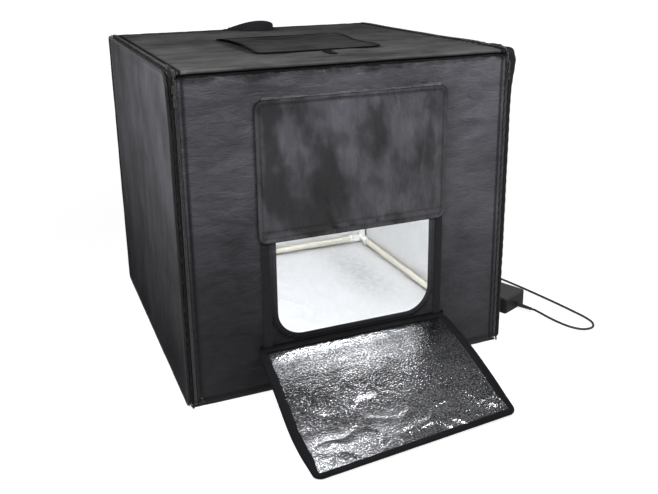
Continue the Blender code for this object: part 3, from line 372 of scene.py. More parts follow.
def bent(shape: Shape, place: Place, dark: Optional[Lift] = None) -> Shape:
    """Move every point of a flat slab to its place in the round.

    Args:
        shape: the slab.
        place: where a point goes.
        dark: how dark a place is, from 0 to 1: mostly painted shade, such as down in a seam, and in a few
            places a darker tone of the thing's own.

    Returns:
        The same slab.
    """
    layer = shape.verts.layers.float.new("dark")
    for vert in shape.verts:
        vert[layer] = min(max(dark(vert.co.x, vert.co.y), 0.0), 1.0) if dark else 0.0
        vert.co = place(*vert.co)
    bmesh.ops.recalc_face_normals(shape, faces=shape.faces)
    return shape


def on_plane(origin: Vector, across: Vector, up: Vector, out: Vector, lift: Lift) -> Place:
    """The place of a flat panel's points, with its soft shape lifted along its outward direction."""

    def place(a: float, b: float, level: float) -> Vector:
        """A point of the panel."""
        return origin + across * a + up * b + out * (level + lift(a, b))

    return place


def on_surface(point: Callable[[float, float], Vector], lift: Lift, step: float = 1.5 * MM) -> Place:
    """The place of a sheet's points on a curved surface, lifted along the surface's normal."""

    def place(a: float, b: float, level: float) -> Vector:
        """A point of the sheet."""
        across = point(a + step, b) - point(a - step, b)
        along = point(a, b + step) - point(a, b - step)
        out = across.cross(along).normalized()
        return point(a, b) + out * (level + lift(a, b))

    return place


class Profile:
    """A line in Y and Z that is followed by its length, with its outward normal on the left."""

    def __init__(self, points: Sequence[tuple[float, float]]) -> None:
        """Take the line's points in order."""
        self.points = [Vector(point) for point in points]
        self.lengths = [0.0]
        for first, second in zip(self.points, self.points[1:]):
            self.lengths.append(self.lengths[-1] + (second - first).length)

    @property
    def length(self) -> float:
        """The line's whole length."""
        return self.lengths[-1]

    def at(self, distance: float) -> Vector:
        """The Y and Z at a distance along the line, which runs on straight past its ends."""
        i = 0
        while i < len(self.points) - 2 and self.lengths[i + 1] < distance:
            i += 1
        first, second = self.points[i], self.points[i + 1]
        share = (distance - self.lengths[i]) / (self.lengths[i + 1] - self.lengths[i])
        return first + (second - first) * share

    def point(self, x: float, distance: float) -> Vector:
        """The place at an X and a distance along the line."""
        return Vector((x, *self.at(distance)))


def swept(outline: Outline, stations: Sequence[Station], closed: bool = False) -> Shape:
    """Sweep an outline along stations and lay a UV map along it, in metres.

    Args:
        outline: points of (across, out).
        stations: places with their directions across and out.
        closed: whether the last station joins the first.

    Returns:
        The swept shape, with closed ends.
    """
    shape = bmesh.new()
    layer = shape.loops.layers.uv.new("Along")
    rings = [[shape.verts.new(place + across * a + out * o) for a, o in outline]
             for place, across, out in stations]
    count = len(outline)
    around = [0.0]
    for i in range(count):
        j = (i + 1) % count
        around.append(around[-1] + math.dist(outline[i], outline[j]))
    walked = [0.0]
    for first, second in zip(stations, [*stations[1:], stations[0]]):
        walked.append(walked[-1] + (second[0] - first[0]).length)
    spans = len(rings) if closed else len(rings) - 1
    for k in range(spans):
        first, second = rings[k], rings[(k + 1) % len(rings)]
        for i in range(count):
            j = (i + 1) % count
            face = shape.faces.new((first[i], second[i], second[j], first[j]))
            marks = ((walked[k], around[i]), (walked[k + 1], around[i]), (walked[k + 1], around[i + 1]),
                     (walked[k], around[i + 1]))
            for loop, mark in zip(face.loops, marks):
                loop[layer].uv = mark
    if not closed:
        for ring in (rings[0], rings[-1]):
            face = shape.faces.new(ring)
            for loop, mark in zip(face.loops, outline):
                loop[layer].uv = mark
    bmesh.ops.recalc_face_normals(shape, faces=shape.faces)
    return shape


def turned(profile: Sequence[tuple[float, float]], base: Vector, along: Vector, sides: int = 32) -> Shape:
    """Turn a profile of (distance, radius) round an axis, with flat ends."""
    along = along.normalized()
    across = along.orthogonal().normalized()
    out = along.cross(across)
    return swept(circle(1, sides), [(base + along * d, across * r, out * r) for d, r in profile])


def joined(shapes: Sequence[Shape]) -> Shape:
    """Put several shapes into one mesh."""
    whole = bmesh.new()
    for shape in shapes:
        mesh = meshed("helper", shape)
        whole.from_mesh(mesh)
        bpy.data.meshes.remove(mesh)
    return whole


def dressed(made: Piece, body: str, slot: str, *nodes: str) -> Piece:
    """Say which body a piece moves with and hide the nodes that it stands for."""
    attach(made, body)
    if nodes:
        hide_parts(*nodes)
    faces = len(made.data.polygons) if made.type == "MESH" else 0
    log.info("%s moves with %s, %d faces", made.name, body, faces)
    return made


# Nodes


class Nodes:
    """A node tree, and the steps that every kind of tree shares."""

    def __init__(self, graph: bpy.types.NodeTree) -> None:
        """Take the tree."""
        self.graph = graph

    def add(self, kind: str, feeds: Optional[dict[Any, Any]] = None, **settings: Any) -> bpy.types.Node:
        """Add a node with its settings, and feed its inputs."""
        node = self.graph.nodes.new(kind)
        for key, value in settings.items():
            setattr(node, key, value)
        for key, value in (feeds or {}).items():
            self.feed(node.inputs[key], value)
        return node

    def feed(self, socket: bpy.types.NodeSocket, value: Any) -> None:
        """Link a socket to another, or set its value."""
        if isinstance(value, bpy.types.NodeSocket):
            self.graph.links.new(value, socket)
        else:
            socket.default_value = value

    def maths(self, operation: str, first: Any, second: Any = 0.0, clamp: bool = False) -> Any:
        """One step of arithmetic."""
        return self.add("ShaderNodeMath", {0: first, 1: second}, operation=operation,
                        use_clamp=clamp).outputs[0]

    def ranged(self, value: Any, low: float, high: float, start: float, end: float) -> Any:
        """Map a value from one range to another, clamped."""
        feeds = {"Value": value, "From Min": low, "From Max": high, "To Min": start, "To Max": end}
        return self.add("ShaderNodeMapRange", feeds).outputs[0]

    def axis(self, vector: Any, name: str) -> Any:
        """One coordinate of a vector."""
        return self.add("ShaderNodeSeparateXYZ", {0: vector}).outputs[name]

    def seen(self) -> Any:
        """1 for what the camera sees, also in a shiny surface or through a clear one."""
        path = self.add("ShaderNodeLightPath").outputs
        straight = self.maths("ADD", path["Is Camera Ray"], path["Is Glossy Ray"], clamp=True)
        return self.maths("ADD", straight, path["Is Transmission Ray"], clamp=True)


# What repeats along a seam


@dataclass(frozen=True)
class Repeat:
    """A small rounded body that is set along runs: a stitch, a tooth or a rib."""

    pitch: float
    size: Triple
    segments: int = 8
    rings: int = 5
    lean: float = 0.0

    def tree(self) -> bpy.types.NodeTree:
        """Build the node tree that sets the bodies along the runs.

        Returns:
            The tree, with named inputs for the pitch, size, lean and material.
        """
        group = bpy.data.node_groups.new("set_along", "GeometryNodeTree")
        face = group.interface
        for name, kind in (("Geometry", "Geometry"), ("Pitch", "Float"), ("Size", "Vector"),
                           ("Lean", "Float"), ("Material", "Material")):
            face.new_socket(name, in_out="INPUT", socket_type=f"NodeSocket{kind}")
        face.new_socket("Geometry", in_out="OUTPUT", socket_type="NodeSocketGeometry")
        add = Nodes(group).add
        given = add("NodeGroupInput").outputs
        runs = add("GeometryNodeMeshToCurve", {"Mesh": given["Geometry"]})
        spaced = add("GeometryNodeResampleCurve", {"Curve": runs.outputs[0], "Length": given["Pitch"]},
                     mode="LENGTH")
        ball = add("GeometryNodeMeshUVSphere", {"Segments": self.segments, "Rings": self.rings,
                                                "Radius": 0.5})
        body = add("GeometryNodeTransform", {"Geometry": ball.outputs["Mesh"], "Scale": given["Size"]})
        soft = add("GeometryNodeSetShadeSmooth", {"Geometry": body.outputs[0]})
        tangent = add("GeometryNodeInputTangent")
        out = add("GeometryNodeInputNamedAttribute", {"Name": "out"}, data_type="FLOAT_VECTOR")
        along = add("FunctionNodeAlignRotationToVector", {"Vector": tangent.outputs[0]}, axis="X")
        upright = add("FunctionNodeAlignRotationToVector",
                      {"Rotation": along.outputs[0], "Vector": out.outputs["Attribute"]}, axis="Z",
                      pivot_axis="X")
        turn = add("FunctionNodeAxisAngleToRotation", {"Axis": (0, 0, 1), "Angle": given["Lean"]})
        turned_by = add("FunctionNodeRotateRotation",
                        {"Rotation": upright.outputs[0], "Rotate By": turn.outputs[0]},
                        rotation_space="LOCAL")
        placed = add("GeometryNodeInstanceOnPoints",
                     {"Points": spaced.outputs[0], "Instance": soft.outputs[0],
                      "Rotation": turned_by.outputs[0]})
        real = add("GeometryNodeRealizeInstances", {"Geometry": placed.outputs[0]})
        painted = add("GeometryNodeSetMaterial", {"Geometry": real.outputs[0], "Material": given["Material"]})
        add("NodeGroupOutput", {0: painted.outputs[0]})
        return group

    def along(self, name: str, runs: Sequence[Sequence[tuple[Vector, Vector]]], look: Look) -> Piece:
        """Set the bodies along runs of (place, outward direction).

        Args:
            name: the piece's name.
            runs: the runs, each a list of places with their outward directions.
            look: the material.

        Returns:
            A plain mesh object of all of them.
        """
        mesh = bpy.data.meshes.new(name)
        places, outs, edges = [], [], []
        for run in runs:
            start = len(places)
            places += [place for place, _ in run]
            outs += [out for _, out in run]
            edges += [(start + i, start + i + 1) for i in range(len(run) - 1)]
        mesh.from_pydata(places, edges, [])
        attribute = mesh.attributes.new("out", "FLOAT_VECTOR", "POINT")
        attribute.data.foreach_set("vector", [value for out in outs for value in out])
        holder = linked(name + "_runs", mesh)
        group = self.tree()
        step = holder.modifiers.new("set_along", "NODES")
        step.node_group = group
        inputs = {item.name: item.identifier for item in group.interface.items_tree if item.in_out == "INPUT"}
        for key, value in (("Pitch", self.pitch), ("Size", self.size), ("Lean", self.lean),
                           ("Material", look)):
            step[inputs[key]] = value
        evaluated = holder.evaluated_get(bpy.context.evaluated_depsgraph_get())
        result = bpy.data.meshes.new_from_object(evaluated)
        result.name = name
        holder.modifiers.clear()
        bpy.data.objects.remove(holder, do_unlink=True)
        for old in [a.name for a in result.attributes if a.name == "out"]:
            result.attributes.remove(result.attributes[old])
        return linked(name, result)


STITCH = Repeat(pitch=3.4 * MM, size=(2.5 * MM, 0.7 * MM, 0.6 * MM), segments=6, rings=4)


def line_run(points: Sequence[Vector], out: Vector, step: float = 6 * MM) -> list[tuple[Vector, Vector]]:
    """A run along straight pieces, with points at an even spacing."""
    run = []
    for first, second in zip(points, points[1:]):
        count = max(1, round((second - first).length / step))
        run += [(first.lerp(second, i / count), out) for i in range(count)]
    return [*run, (points[-1], out)]


# Finishes


class Tree(Nodes):
    """The nodes of one material, from the piece's own coordinates to its shader."""

    def __init__(self, name: str) -> None:
        """Start a material with Object coordinates."""
        self.material = bpy.data.materials.new(name)
        self.material.use_nodes = True
        super().__init__(self.material.node_tree)
        self.shader = self.graph.nodes["Principled BSDF"]
        self.place = self.add("ShaderNodeTexCoord").outputs["Object"]

    def along(self) -> Any:
        """The piece's UV map, in metres along and round it."""
        return self.add("ShaderNodeUVMap", uv_map="Along").outputs["UV"]

    def scaled(self, vector: Any, scale: Sequence[float], turn: Sequence[float] = (0, 0, 0),
               shift: Sequence[float] = (0, 0, 0)) -> Any:
        """A vector moved, turned and scaled."""
        feeds = {"Vector": vector, "Scale": scale, "Rotation": turn, "Location": shift}
        return self.add("ShaderNodeMapping", feeds).outputs[0]

    def noise(self, vector: Any, scale: float, detail: float = 3, roughness: float = 0.5,
              distortion: float = 0) -> Any:
        """Soft random values from 0 to 1."""
        feeds = {"Vector": vector, "Scale": scale, "Detail": detail, "Roughness": roughness,
                 "Distortion": distortion}
        return self.add("ShaderNodeTexNoise", feeds).outputs[0]

    def cells(self, vector: Any, scale: float, feature: str = "SMOOTH_F1") -> Any:
        """The distance in a pattern of random cells."""
        return self.add("ShaderNodeTexVoronoi", {"Vector": vector, "Scale": scale},
                        feature=feature).outputs["Distance"]

    def bands(self, vector: Any, scale: float, direction: str) -> Any:
        """Even round ribs across one direction; scale is ribs a metre."""
        feeds = {"Vector": vector, "Scale": scale * math.pi / 10, "Distortion": 0.0}
        return self.add("ShaderNodeTexWave", feeds, bands_direction=direction,
                        wave_profile="SIN").outputs["Fac"]

    def sum(self, *parts: tuple[Any, float]) -> Any:
        """Add values, each times its weight."""
        total: Any = 0.0
        for value, weight in parts:
            node = self.add("ShaderNodeMath", {0: value, 1: weight, 2: total}, operation="MULTIPLY_ADD")
            total = node.outputs[0]
        return total

    def tint(self, share: Any, first: Any, second: Any) -> Any:
        """A colour between two, by a share."""
        ends = [end if isinstance(end, bpy.types.NodeSocket) else (*end, 1) for end in (first, second)]
        return self.add("ShaderNodeMix", {0: share, 6: ends[0], 7: ends[1]}, data_type="RGBA").outputs[2]

    def dark(self) -> Any:
        """How dark a place is, as its mesh says: mostly painted shade, and in a few places a darker tone of
        its own.
        """
        return self.add("ShaderNodeAttribute", attribute_name="dark",
                        attribute_type="GEOMETRY").outputs["Fac"]

    def emboss(self, height: Any, distance: float, strength: float = 1.0) -> None:
        """Give the shader a bump from a height."""
        bump = self.add("ShaderNodeBump", {"Height": height, "Distance": distance, "Strength": strength})
        self.feed(self.shader.inputs["Normal"], bump.outputs["Normal"])

    def weave(self, vector: Any, pitch: float) -> Any:
        """A plain weave's height over two directions of a vector."""
        ribs = self.bands(vector, 1 / pitch, "X")
        picks = self.bands(vector, 1 / pitch, "Y")
        return self.maths("MULTIPLY", ribs, picks)


@dataclass(frozen=True)
class Finish:
    """What every finish has: its name, colour, roughness and fixed shader values."""

    name: str
    colour: Triple
    roughness: float
    metallic: float = 0.0
    specular: float = 0.5

    def start(self) -> Tree:
        """Start the material with the finish's fixed values on the shader itself."""
        tree = Tree(self.name)
        tree.shader.inputs["Base Color"].default_value = (*self.colour, 1)
        tree.shader.inputs["Roughness"].default_value = self.roughness
        tree.shader.inputs["Metallic"].default_value = self.metallic
        tree.shader.inputs["Specular IOR Level"].default_value = self.specular
        tree.material.diffuse_color = (*self.colour, 1)
        return tree

    def between(self, tree: Tree, share: Any, low: float, high: float) -> Any:
        """The colour at a share of the way between two brightnesses of itself."""
        first, second = (tuple(c * level for c in self.colour) for level in (low, high))
        return tree.tint(share, first, second)

    def shade(self, tree: Tree, share: Any, low: float, high: float) -> None:
        """Let the shader's colour run between two brightnesses of itself."""
        tree.feed(tree.shader.inputs["Base Color"], self.between(tree, share, low, high))

    def rough(self, tree: Tree, share: Any, low: float, high: float) -> None:
        """Let the roughness run between two shares of itself."""
        tree.feed(tree.shader.inputs["Roughness"], tree.ranged(share, 0, 1, self.roughness * low,
                                                               self.roughness * high))


@dataclass(frozen=True)
class CoatedCloth(Finish):
    """Coated cloth with leathery cells and fine crinkles that run one way."""

    stretch: Triple = (0.3, 0.3, 1.0)
    crinkle: float = 1.0
    depth: float = 0.9
    blotch: float = 0.4

    def make(self) -> Look:
        """Build the material."""
        tree = self.start()
        drawn = tree.scaled(tree.place, self.stretch)
        fine = tree.noise(drawn, 300, 4, 0.6, 0.7)
        middle = tree.noise(drawn, 75, 5, 0.6, 1.1)
        large = tree.noise(drawn, 26, 4, 0.55, 0.8)
        pebble = tree.cells(tree.place, 420)
        broad = tree.noise(tree.place, 9, 3, 0.5)
        threads = tree.noise(tree.place, 1700, 1, 0.5)
        sharp = tree.maths("ABSOLUTE", tree.maths("SUBTRACT", middle, 0.5))
        wide = tree.maths("ABSOLUTE", tree.maths("SUBTRACT", large, 0.5))
        height = tree.sum((fine, 0.7 * self.crinkle), (sharp, 3.2 * self.crinkle), (wide, 4.0 * self.crinkle),
                          (pebble, 0.35), (threads, 0.06))
        tree.emboss(height, self.depth * MM, 1.0)
        tone = tree.sum((broad, 0.45), (large, 0.3), (middle, 0.25))
        toned = self.between(tree, tree.ranged(tone, 0.38, 0.62, 0, 1), 1 - self.blotch, 1 + 1.2 * self.blotch)
        # The mesh's dark attribute runs the colour towards near black: painted shade in seams, recesses and
        # away from the light, and a darker tone where a piece has one of its own.
        tree.feed(tree.shader.inputs["Base Color"], tree.tint(tree.dark(), toned, (0.003, 0.003, 0.0035)))
        self.rough(tree, tree.ranged(tree.sum((fine, 0.5), (broad, 0.5)), 0.35, 0.65, 0, 1), 0.84, 1.18)
        return tree.material


@dataclass(frozen=True)
class SilverFoil(Finish):
    """Silver foil laid on cloth: small round pebbles and creases."""

    pebbles: float = 520.0
    depth: float = 0.5
    crumple: float = 1.0
    speckle: float = 0.1

    def make(self) -> Look:
        """Build the material."""
        tree = self.start()
        pebble = tree.cells(tree.place, self.pebbles)
        grain = tree.noise(tree.place, self.pebbles * 1.9, 2, 0.6)
        creases = tree.noise(tree.place, 38, 4, 0.6, 1.2)
        sharp = tree.maths("ABSOLUTE", tree.maths("SUBTRACT", creases, 0.5))
        height = tree.sum((pebble, 1.0), (grain, 0.7), (sharp, 4.0 * self.crumple))
        tree.emboss(height, self.depth * MM, 0.9)
        patches = tree.noise(tree.place, 14, 3, 0.55)
        # Painted glints: the silver's brightness is speckled from cell to cell.
        specks = tree.noise(tree.place, self.pebbles * 1.1, 2, 0.5)
        lit = tree.ranged(tree.sum((specks, 0.8), (patches, 0.2)), 0.42, 0.6, 0, 1)
        silver = self.between(tree, lit, 1 - self.speckle, 1 + 0.15 * self.speckle)
        # The mesh's dark attribute runs the silver towards near black: painted shade on the lower flap's
        # facing, and a duller creased patch on the floor lining.
        tree.feed(tree.shader.inputs["Base Color"], tree.tint(tree.dark(), silver, (0.02, 0.02, 0.022)))
        self.rough(tree, grain, 0.8, 1.25)
        return tree.material


@dataclass(frozen=True)
class Woven(Finish):
    """Woven trim: tape, webbing or binding, with its ribs along the piece's own UV map."""

    pitch: float = 1.1 * MM
    depth: float = 0.25
    slant: float = 0.0
    follows: bool = True
    fuzz: float = 0.3

    def make(self) -> Look:
        """Build the material."""
        tree = self.start()
        base = tree.along() if self.follows else tree.place
        turned_by = tree.scaled(base, (1, 1, 1), (0, 0, self.slant * DEGREE))
        cloth = tree.weave(turned_by, self.pitch)
        fibre = tree.noise(tree.place, 2600, 2, 0.6)
        wear = tree.noise(tree.place, 30, 3, 0.5)
        tree.emboss(tree.sum((cloth, 1.0), (fibre, self.fuzz)), self.depth * MM, 0.9)
        self.shade(tree, tree.ranged(tree.sum((cloth, 0.5), (fibre, 0.2), (wear, 0.3)), 0.2, 0.8, 0, 1), 0.7,
                   1.5)
        self.rough(tree, wear, 0.9, 1.1)
        tree.shader.inputs["Sheen Weight"].default_value = 0.01
        tree.shader.inputs["Sheen Roughness"].default_value = 0.5
        return tree.material


@dataclass(frozen=True)
class LoopPile(Finish):
    """The looped pile of a hook and loop strip."""

    def make(self) -> Look:
        """Build the material."""
        tree = self.start()
        loops = tree.cells(tree.place, 1100)
        tufts = tree.noise(tree.place, 320, 4, 0.7, 1.0)
        tree.emboss(tree.sum((loops, 1.0), (tufts, 1.2)), 0.7 * MM, 1.0)
        self.shade(tree, tufts, 0.5, 1.7)
        tree.shader.inputs["Sheen Weight"].default_value = 0.05
        return tree.material


@dataclass(frozen=True)
class Moulded(Finish):
    """Moulded plastic or rubber with a fine spark texture and slight wear."""

    grain: float = 2200.0
    depth: float = 0.06
    # Height of a top face, zero for none: above it the colour is painted lighter and below it darker, as
    # painted light from above.
    top: float = 0.0

    def make(self) -> Look:
        """Build the material."""
        tree = self.start()
        spark = tree.noise(tree.place, self.grain, 2, 0.6)
        cloudy = tree.noise(tree.place, 45, 4, 0.6)
        tree.emboss(tree.sum((spark, 1.0), (cloudy, 0.6)), self.depth * MM, 0.7)
        # Painted light: the top face lighter and the faces below it darker.
        if self.top:
            high = tree.ranged(tree.axis(tree.place, "Z"), self.top - 4 * MM, self.top, 0, 1)
            self.shade(tree, tree.maths("MULTIPLY", high, tree.ranged(spark, 0.3, 0.7, 0.6, 1)), 0.42, 1.9)
        else:
            self.shade(tree, cloudy, 0.88, 1.12)
        self.rough(tree, tree.sum((spark, 0.4), (cloudy, 0.6)), 0.85, 1.15)
        return tree.material


@dataclass(frozen=True)
class DrawnMetal(Finish):
    """Satin metal with fine marks drawn along it."""

    stretch: Triple = (1.0, 1.0, 0.03)

    def make(self) -> Look:
        """Build the material."""
        tree = self.start()
        drawn = tree.noise(tree.scaled(tree.place, self.stretch), 2400, 3, 0.6)
        smudge = tree.noise(tree.place, 55, 3, 0.6)
        tree.emboss(drawn, 0.03 * MM, 0.6)
        self.shade(tree, smudge, 0.9, 1.08)
        self.rough(tree, tree.sum((drawn, 0.4), (smudge, 0.6)), 0.75, 1.25)
        return tree.material


@dataclass(frozen=True)
class CircuitBoard(Finish):
    """A circuit board: green lacquer over copper tracks, with yellow chips on its underside."""

    below: float = 0.0

    def make(self) -> Look:
        """Build the material."""
        tree = self.start()
        tracks = tree.maths("GREATER_THAN", tree.bands(tree.place, 110, "Y"), 0.7)
        pads = tree.cells(tree.place, 90)
        self.shade(tree, tree.sum((tracks, 0.5), (pads, 0.5)), 0.7, 1.7)
        tree.emboss(tree.sum((tracks, 1.0), (pads, 0.3)), 0.05 * MM, 0.6)
        if self.below:
            chip = tree.maths("LESS_THAN", tree.axis(tree.place, "Z"), self.below)
            colour = tree.tint(chip, self.colour, (0.8, 0.62, 0.2))
            tree.feed(tree.shader.inputs["Base Color"], colour)
        return tree.material


@dataclass(frozen=True)
class Frosted(Finish):
    """A frosted cover that glows evenly from the chips behind it."""

    glow: float = 29.0
    pitch: float = 26 * MM

    def make(self) -> Look:
        """Build the material."""
        tree = self.start()
        spots = tree.bands(tree.place, 1 / self.pitch, "X")
        frost = tree.noise(tree.place, 1500, 2, 0.5)
        tree.emboss(frost, 0.05 * MM, 0.6)
        self.shade(tree, frost, 0.95, 1.02)
        tree.shader.inputs["Emission Color"].default_value = (0.98, 0.985, 1.0, 1)
        tree.feed(tree.shader.inputs["Emission Strength"],
                  tree.ranged(spots, 0, 1, self.glow * 0.9, self.glow * 1.1))
        return tree.material


class Looks:
    """Every finish of the object, made once."""

    def __init__(self) -> None:
        """Make the materials."""
        cloth = (0.074, 0.072, 0.083)
        self.front = CoatedCloth("front_cloth", cloth, 0.36, specular=0.13, stretch=(0.33, 1, 1)).make()
        # The sides: the same coated cloth painted lighter, a painted sheen in place of the gloss that their
        # zero specular leaves out.
        self.side = CoatedCloth("side_cloth", (0.108, 0.105, 0.115), 0.5, specular=0.0, stretch=(1, 0.8, 0.3),
                                crinkle=0.35, blotch=0.24).make()
        self.roof = CoatedCloth("roof_cloth", (0.075, 0.075, 0.076), 0.5, specular=0.0,
                                stretch=(0.33, 1, 1)).make()
        self.flap = CoatedCloth("flap_cloth", (0.062, 0.06, 0.07), 0.28, specular=0.28, stretch=(1, 1, 0.35),
                                crinkle=0.22, blotch=0.6).make()
        # Near-black cloth for strips sewn where the seams lie in shade: painted shade.
        self.seam = CoatedCloth("seam_cloth", (0.012, 0.012, 0.013), 0.7, specular=0.05,
                                stretch=(0.4, 1, 1)).make()
        self.lining = SilverFoil("lining_foil", (0.86, 0.87, 0.88), 0.42, 0.55, pebbles=420,
                                 depth=0.35).make()
        self.facing = SilverFoil("facing_foil", (0.82, 0.83, 0.86), 0.13, 1.0, pebbles=360, depth=0.42,
                                 crumple=0.4, speckle=0.75).make()
        self.piping = Woven("black_binding", (0.018, 0.018, 0.019), 0.5, specular=0.12, pitch=0.9 * MM,
                            depth=0.12).make()
        self.edge = Woven("flap_binding", (0.012, 0.012, 0.014), 0.6, specular=0.02, pitch=1.2 * MM,
                          depth=0.15).make()
        self.tape = Woven("zip_tape_weave", (0.015, 0.015, 0.015), 0.7, specular=0.08, pitch=1.5 * MM,
                          slant=35).make()
        self.webbing = Woven("black_webbing", (0.024, 0.024, 0.028), 0.7, specular=0.1, pitch=1.6 * MM,
                             slant=45, depth=0.4).make()
        self.tab = Woven("tab_webbing", (0.012, 0.012, 0.013), 0.8, specular=0.0, pitch=1.5 * MM,
                         follows=False).make()
        self.coil = Moulded("zip_coil_nylon", (0.033, 0.033, 0.035), 0.3, specular=0.6).make()
        self.thread = Moulded("sewing_thread", (0.021, 0.021, 0.022), 0.7, specular=0.1).make()
        self.pile = LoopPile("loop_pile", (0.024, 0.024, 0.027), 0.95, specular=0.05).make()
        self.slider = DrawnMetal("slider_metal", (0.045, 0.044, 0.042), 0.32, 0.5).make()
        self.tube = DrawnMetal("tube_metal", (0.74, 0.70, 0.61), 0.4, 0.35, stretch=(1.0, 1.0, 1.0)).make()
        self.white = Moulded("white_moulding", (0.82, 0.82, 0.8), 0.42).make()
        self.housing = Moulded("bar_housing", (0.78, 0.78, 0.77), 0.4).make()
        self.board = CircuitBoard("light_board", (0.03, 0.13, 0.05), 0.4, below=540.5 * MM).make()
        self.adapter_board = CircuitBoard("adapter_board", (0.03, 0.12, 0.05), 0.4).make()
        self.frosted = Frosted("frosted_cover", (0.92, 0.92, 0.92), 0.45).make()
        # The adapter case: its top face painted lighter and its sides darker, painted light from above.
        self.case = Moulded("adapter_case", (0.054, 0.054, 0.055), 0.5, specular=0.08, grain=800, depth=0.5,
                            top=32.5 * MM).make()
        self.inlet = Moulded("inlet_moulding", (0.021, 0.021, 0.021), 0.5, specular=0.15).make()
        self.rubber = Moulded("lead_rubber", (0.024, 0.024, 0.024), 0.42).make()
        self.plug = Moulded("connector_moulding", (0.022, 0.022, 0.022), 0.45).make()
        self.nickel = DrawnMetal("barrel_metal", (0.7, 0.69, 0.66), 0.25, 1.0).make()


# Camera, floor and lights


@dataclass
class Studio:
    """The camera at the photograph's angle, a pale floor and soft lamps."""

    position: Triple = (-0.52046, -1.44656, 0.72074)
    right: Triple = (0.92276, -0.38517, -0.01285)
    up: Triple = (0.11856, 0.25200, 0.96043)
    ahead: Triple = (0.36669, 0.88777, -0.27820)
    focal: float = 790.23
    centre: tuple[float, float] = (329.0, 180.0)
    frame_width: float = 658.0
    frame_height: float = 494.0
    sensor: float = 36.0

    def camera(self) -> None:
        """Set up the scene's camera."""
        data = bpy.data.cameras.new("camera")
        data.sensor_width, data.sensor_fit = self.sensor, "HORIZONTAL"
        data.lens = self.focal / self.frame_width * self.sensor
        data.shift_x = (self.frame_width / 2 - self.centre[0]) / self.frame_width
        data.shift_y = (self.centre[1] - self.frame_height / 2) / self.frame_width
        data.clip_start, data.clip_end = 0.05, 60
        made = linked("camera", data)
        made.matrix_world = laid_at(Vector(self.position), Vector(self.right), Vector(self.up),
                                    -Vector(self.ahead))
        bpy.context.scene.camera = made

    def floor(self) -> None:
        """Lay a pale floor that the camera sees as white where no shadow falls."""
        shape = bmesh.new()
        bmesh.ops.create_grid(shape, x_segments=1, y_segments=1, size=30)
        bmesh.ops.translate(shape, verts=shape.verts, vec=(0, 0, -0.05 * MM))
        tree = Tree("floor")
        tree.graph.nodes.remove(tree.shader)
        matt = tree.add("ShaderNodeBsdfDiffuse", {"Color": (0.42, 0.42, 0.42, 1)})
        away = tree.maths("POWER", tree.axis(tree.place, "X"), 2)
        away = tree.maths("ADD", away, tree.maths("POWER", tree.axis(tree.place, "Y"), 2))
        level = tree.ranged(away, 0.6, 5.0, 0.8, 1.0)
        glow = tree.add("ShaderNodeEmission",
                        {"Color": (1, 1, 1, 1), "Strength": tree.maths("MULTIPLY", tree.seen(), level)})
        both = tree.add("ShaderNodeAddShader", {0: matt.outputs[0], 1: glow.outputs[0]})
        tree.feed(tree.graph.nodes["Material Output"].inputs["Surface"], both.outputs[0])
        finished("floor", shape, tree.material)

    def world(self) -> None:
        """A soft grey world that the camera sees as white."""
        world = bpy.data.worlds.new("world")
        bpy.context.scene.world = world
        world.use_nodes = True
        tree = Nodes(world.node_tree)
        height = tree.axis(tree.add("ShaderNodeTexCoord").outputs["Generated"], "Z")
        both = tree.maths("MULTIPLY", tree.seen(), tree.ranged(height, 0.03, 0.12, 1.0, 0.0))
        background = tree.graph.nodes["Background"]
        tree.feed(background.inputs["Strength"], tree.ranged(both, 0.0, 1.0, 0.16, 1.0))
        tree.feed(background.inputs["Color"], (1, 1, 1, 1))

    def lamp(self, name: str, place: Triple, aim: Triple, size: tuple[float, float], power: float) -> None:
        """A rectangular soft lamp at a place, aimed at a point."""
        data = bpy.data.lights.new(name, "AREA")
        data.shape, data.size, data.size_y, data.energy = "RECTANGLE", *size, power
        made = linked(name, data)
        made.visible_camera = False
        made.location = place
        made.rotation_euler = (Vector(aim) - Vector(place)).to_track_quat("-Z", "Y").to_euler()

    def build(self) -> None:
        """Make the whole studio."""
        self.camera()
        self.floor()
        self.world()
        self.lamp("key", (0.4, -0.9, 1.15), (0.1, -0.3, 0.4), (0.5, 0.3), 10)
        self.lamp("left", (-0.78, -0.5, 1.02), (-0.3, -0.15, 0.45), (0.45, 0.45), 9)
        self.lamp("right", (1.6, -0.7, 1.0), (0.3, 0, 0.2), (0.8, 0.8), 5)
        self.lamp("rear", (-1.3, 1.7, 1.3), (0, 0.3, 0.2), (1.2, 1.2), 6)
        bpy.context.scene.view_settings.view_transform = "Standard"


# The adapter's lead


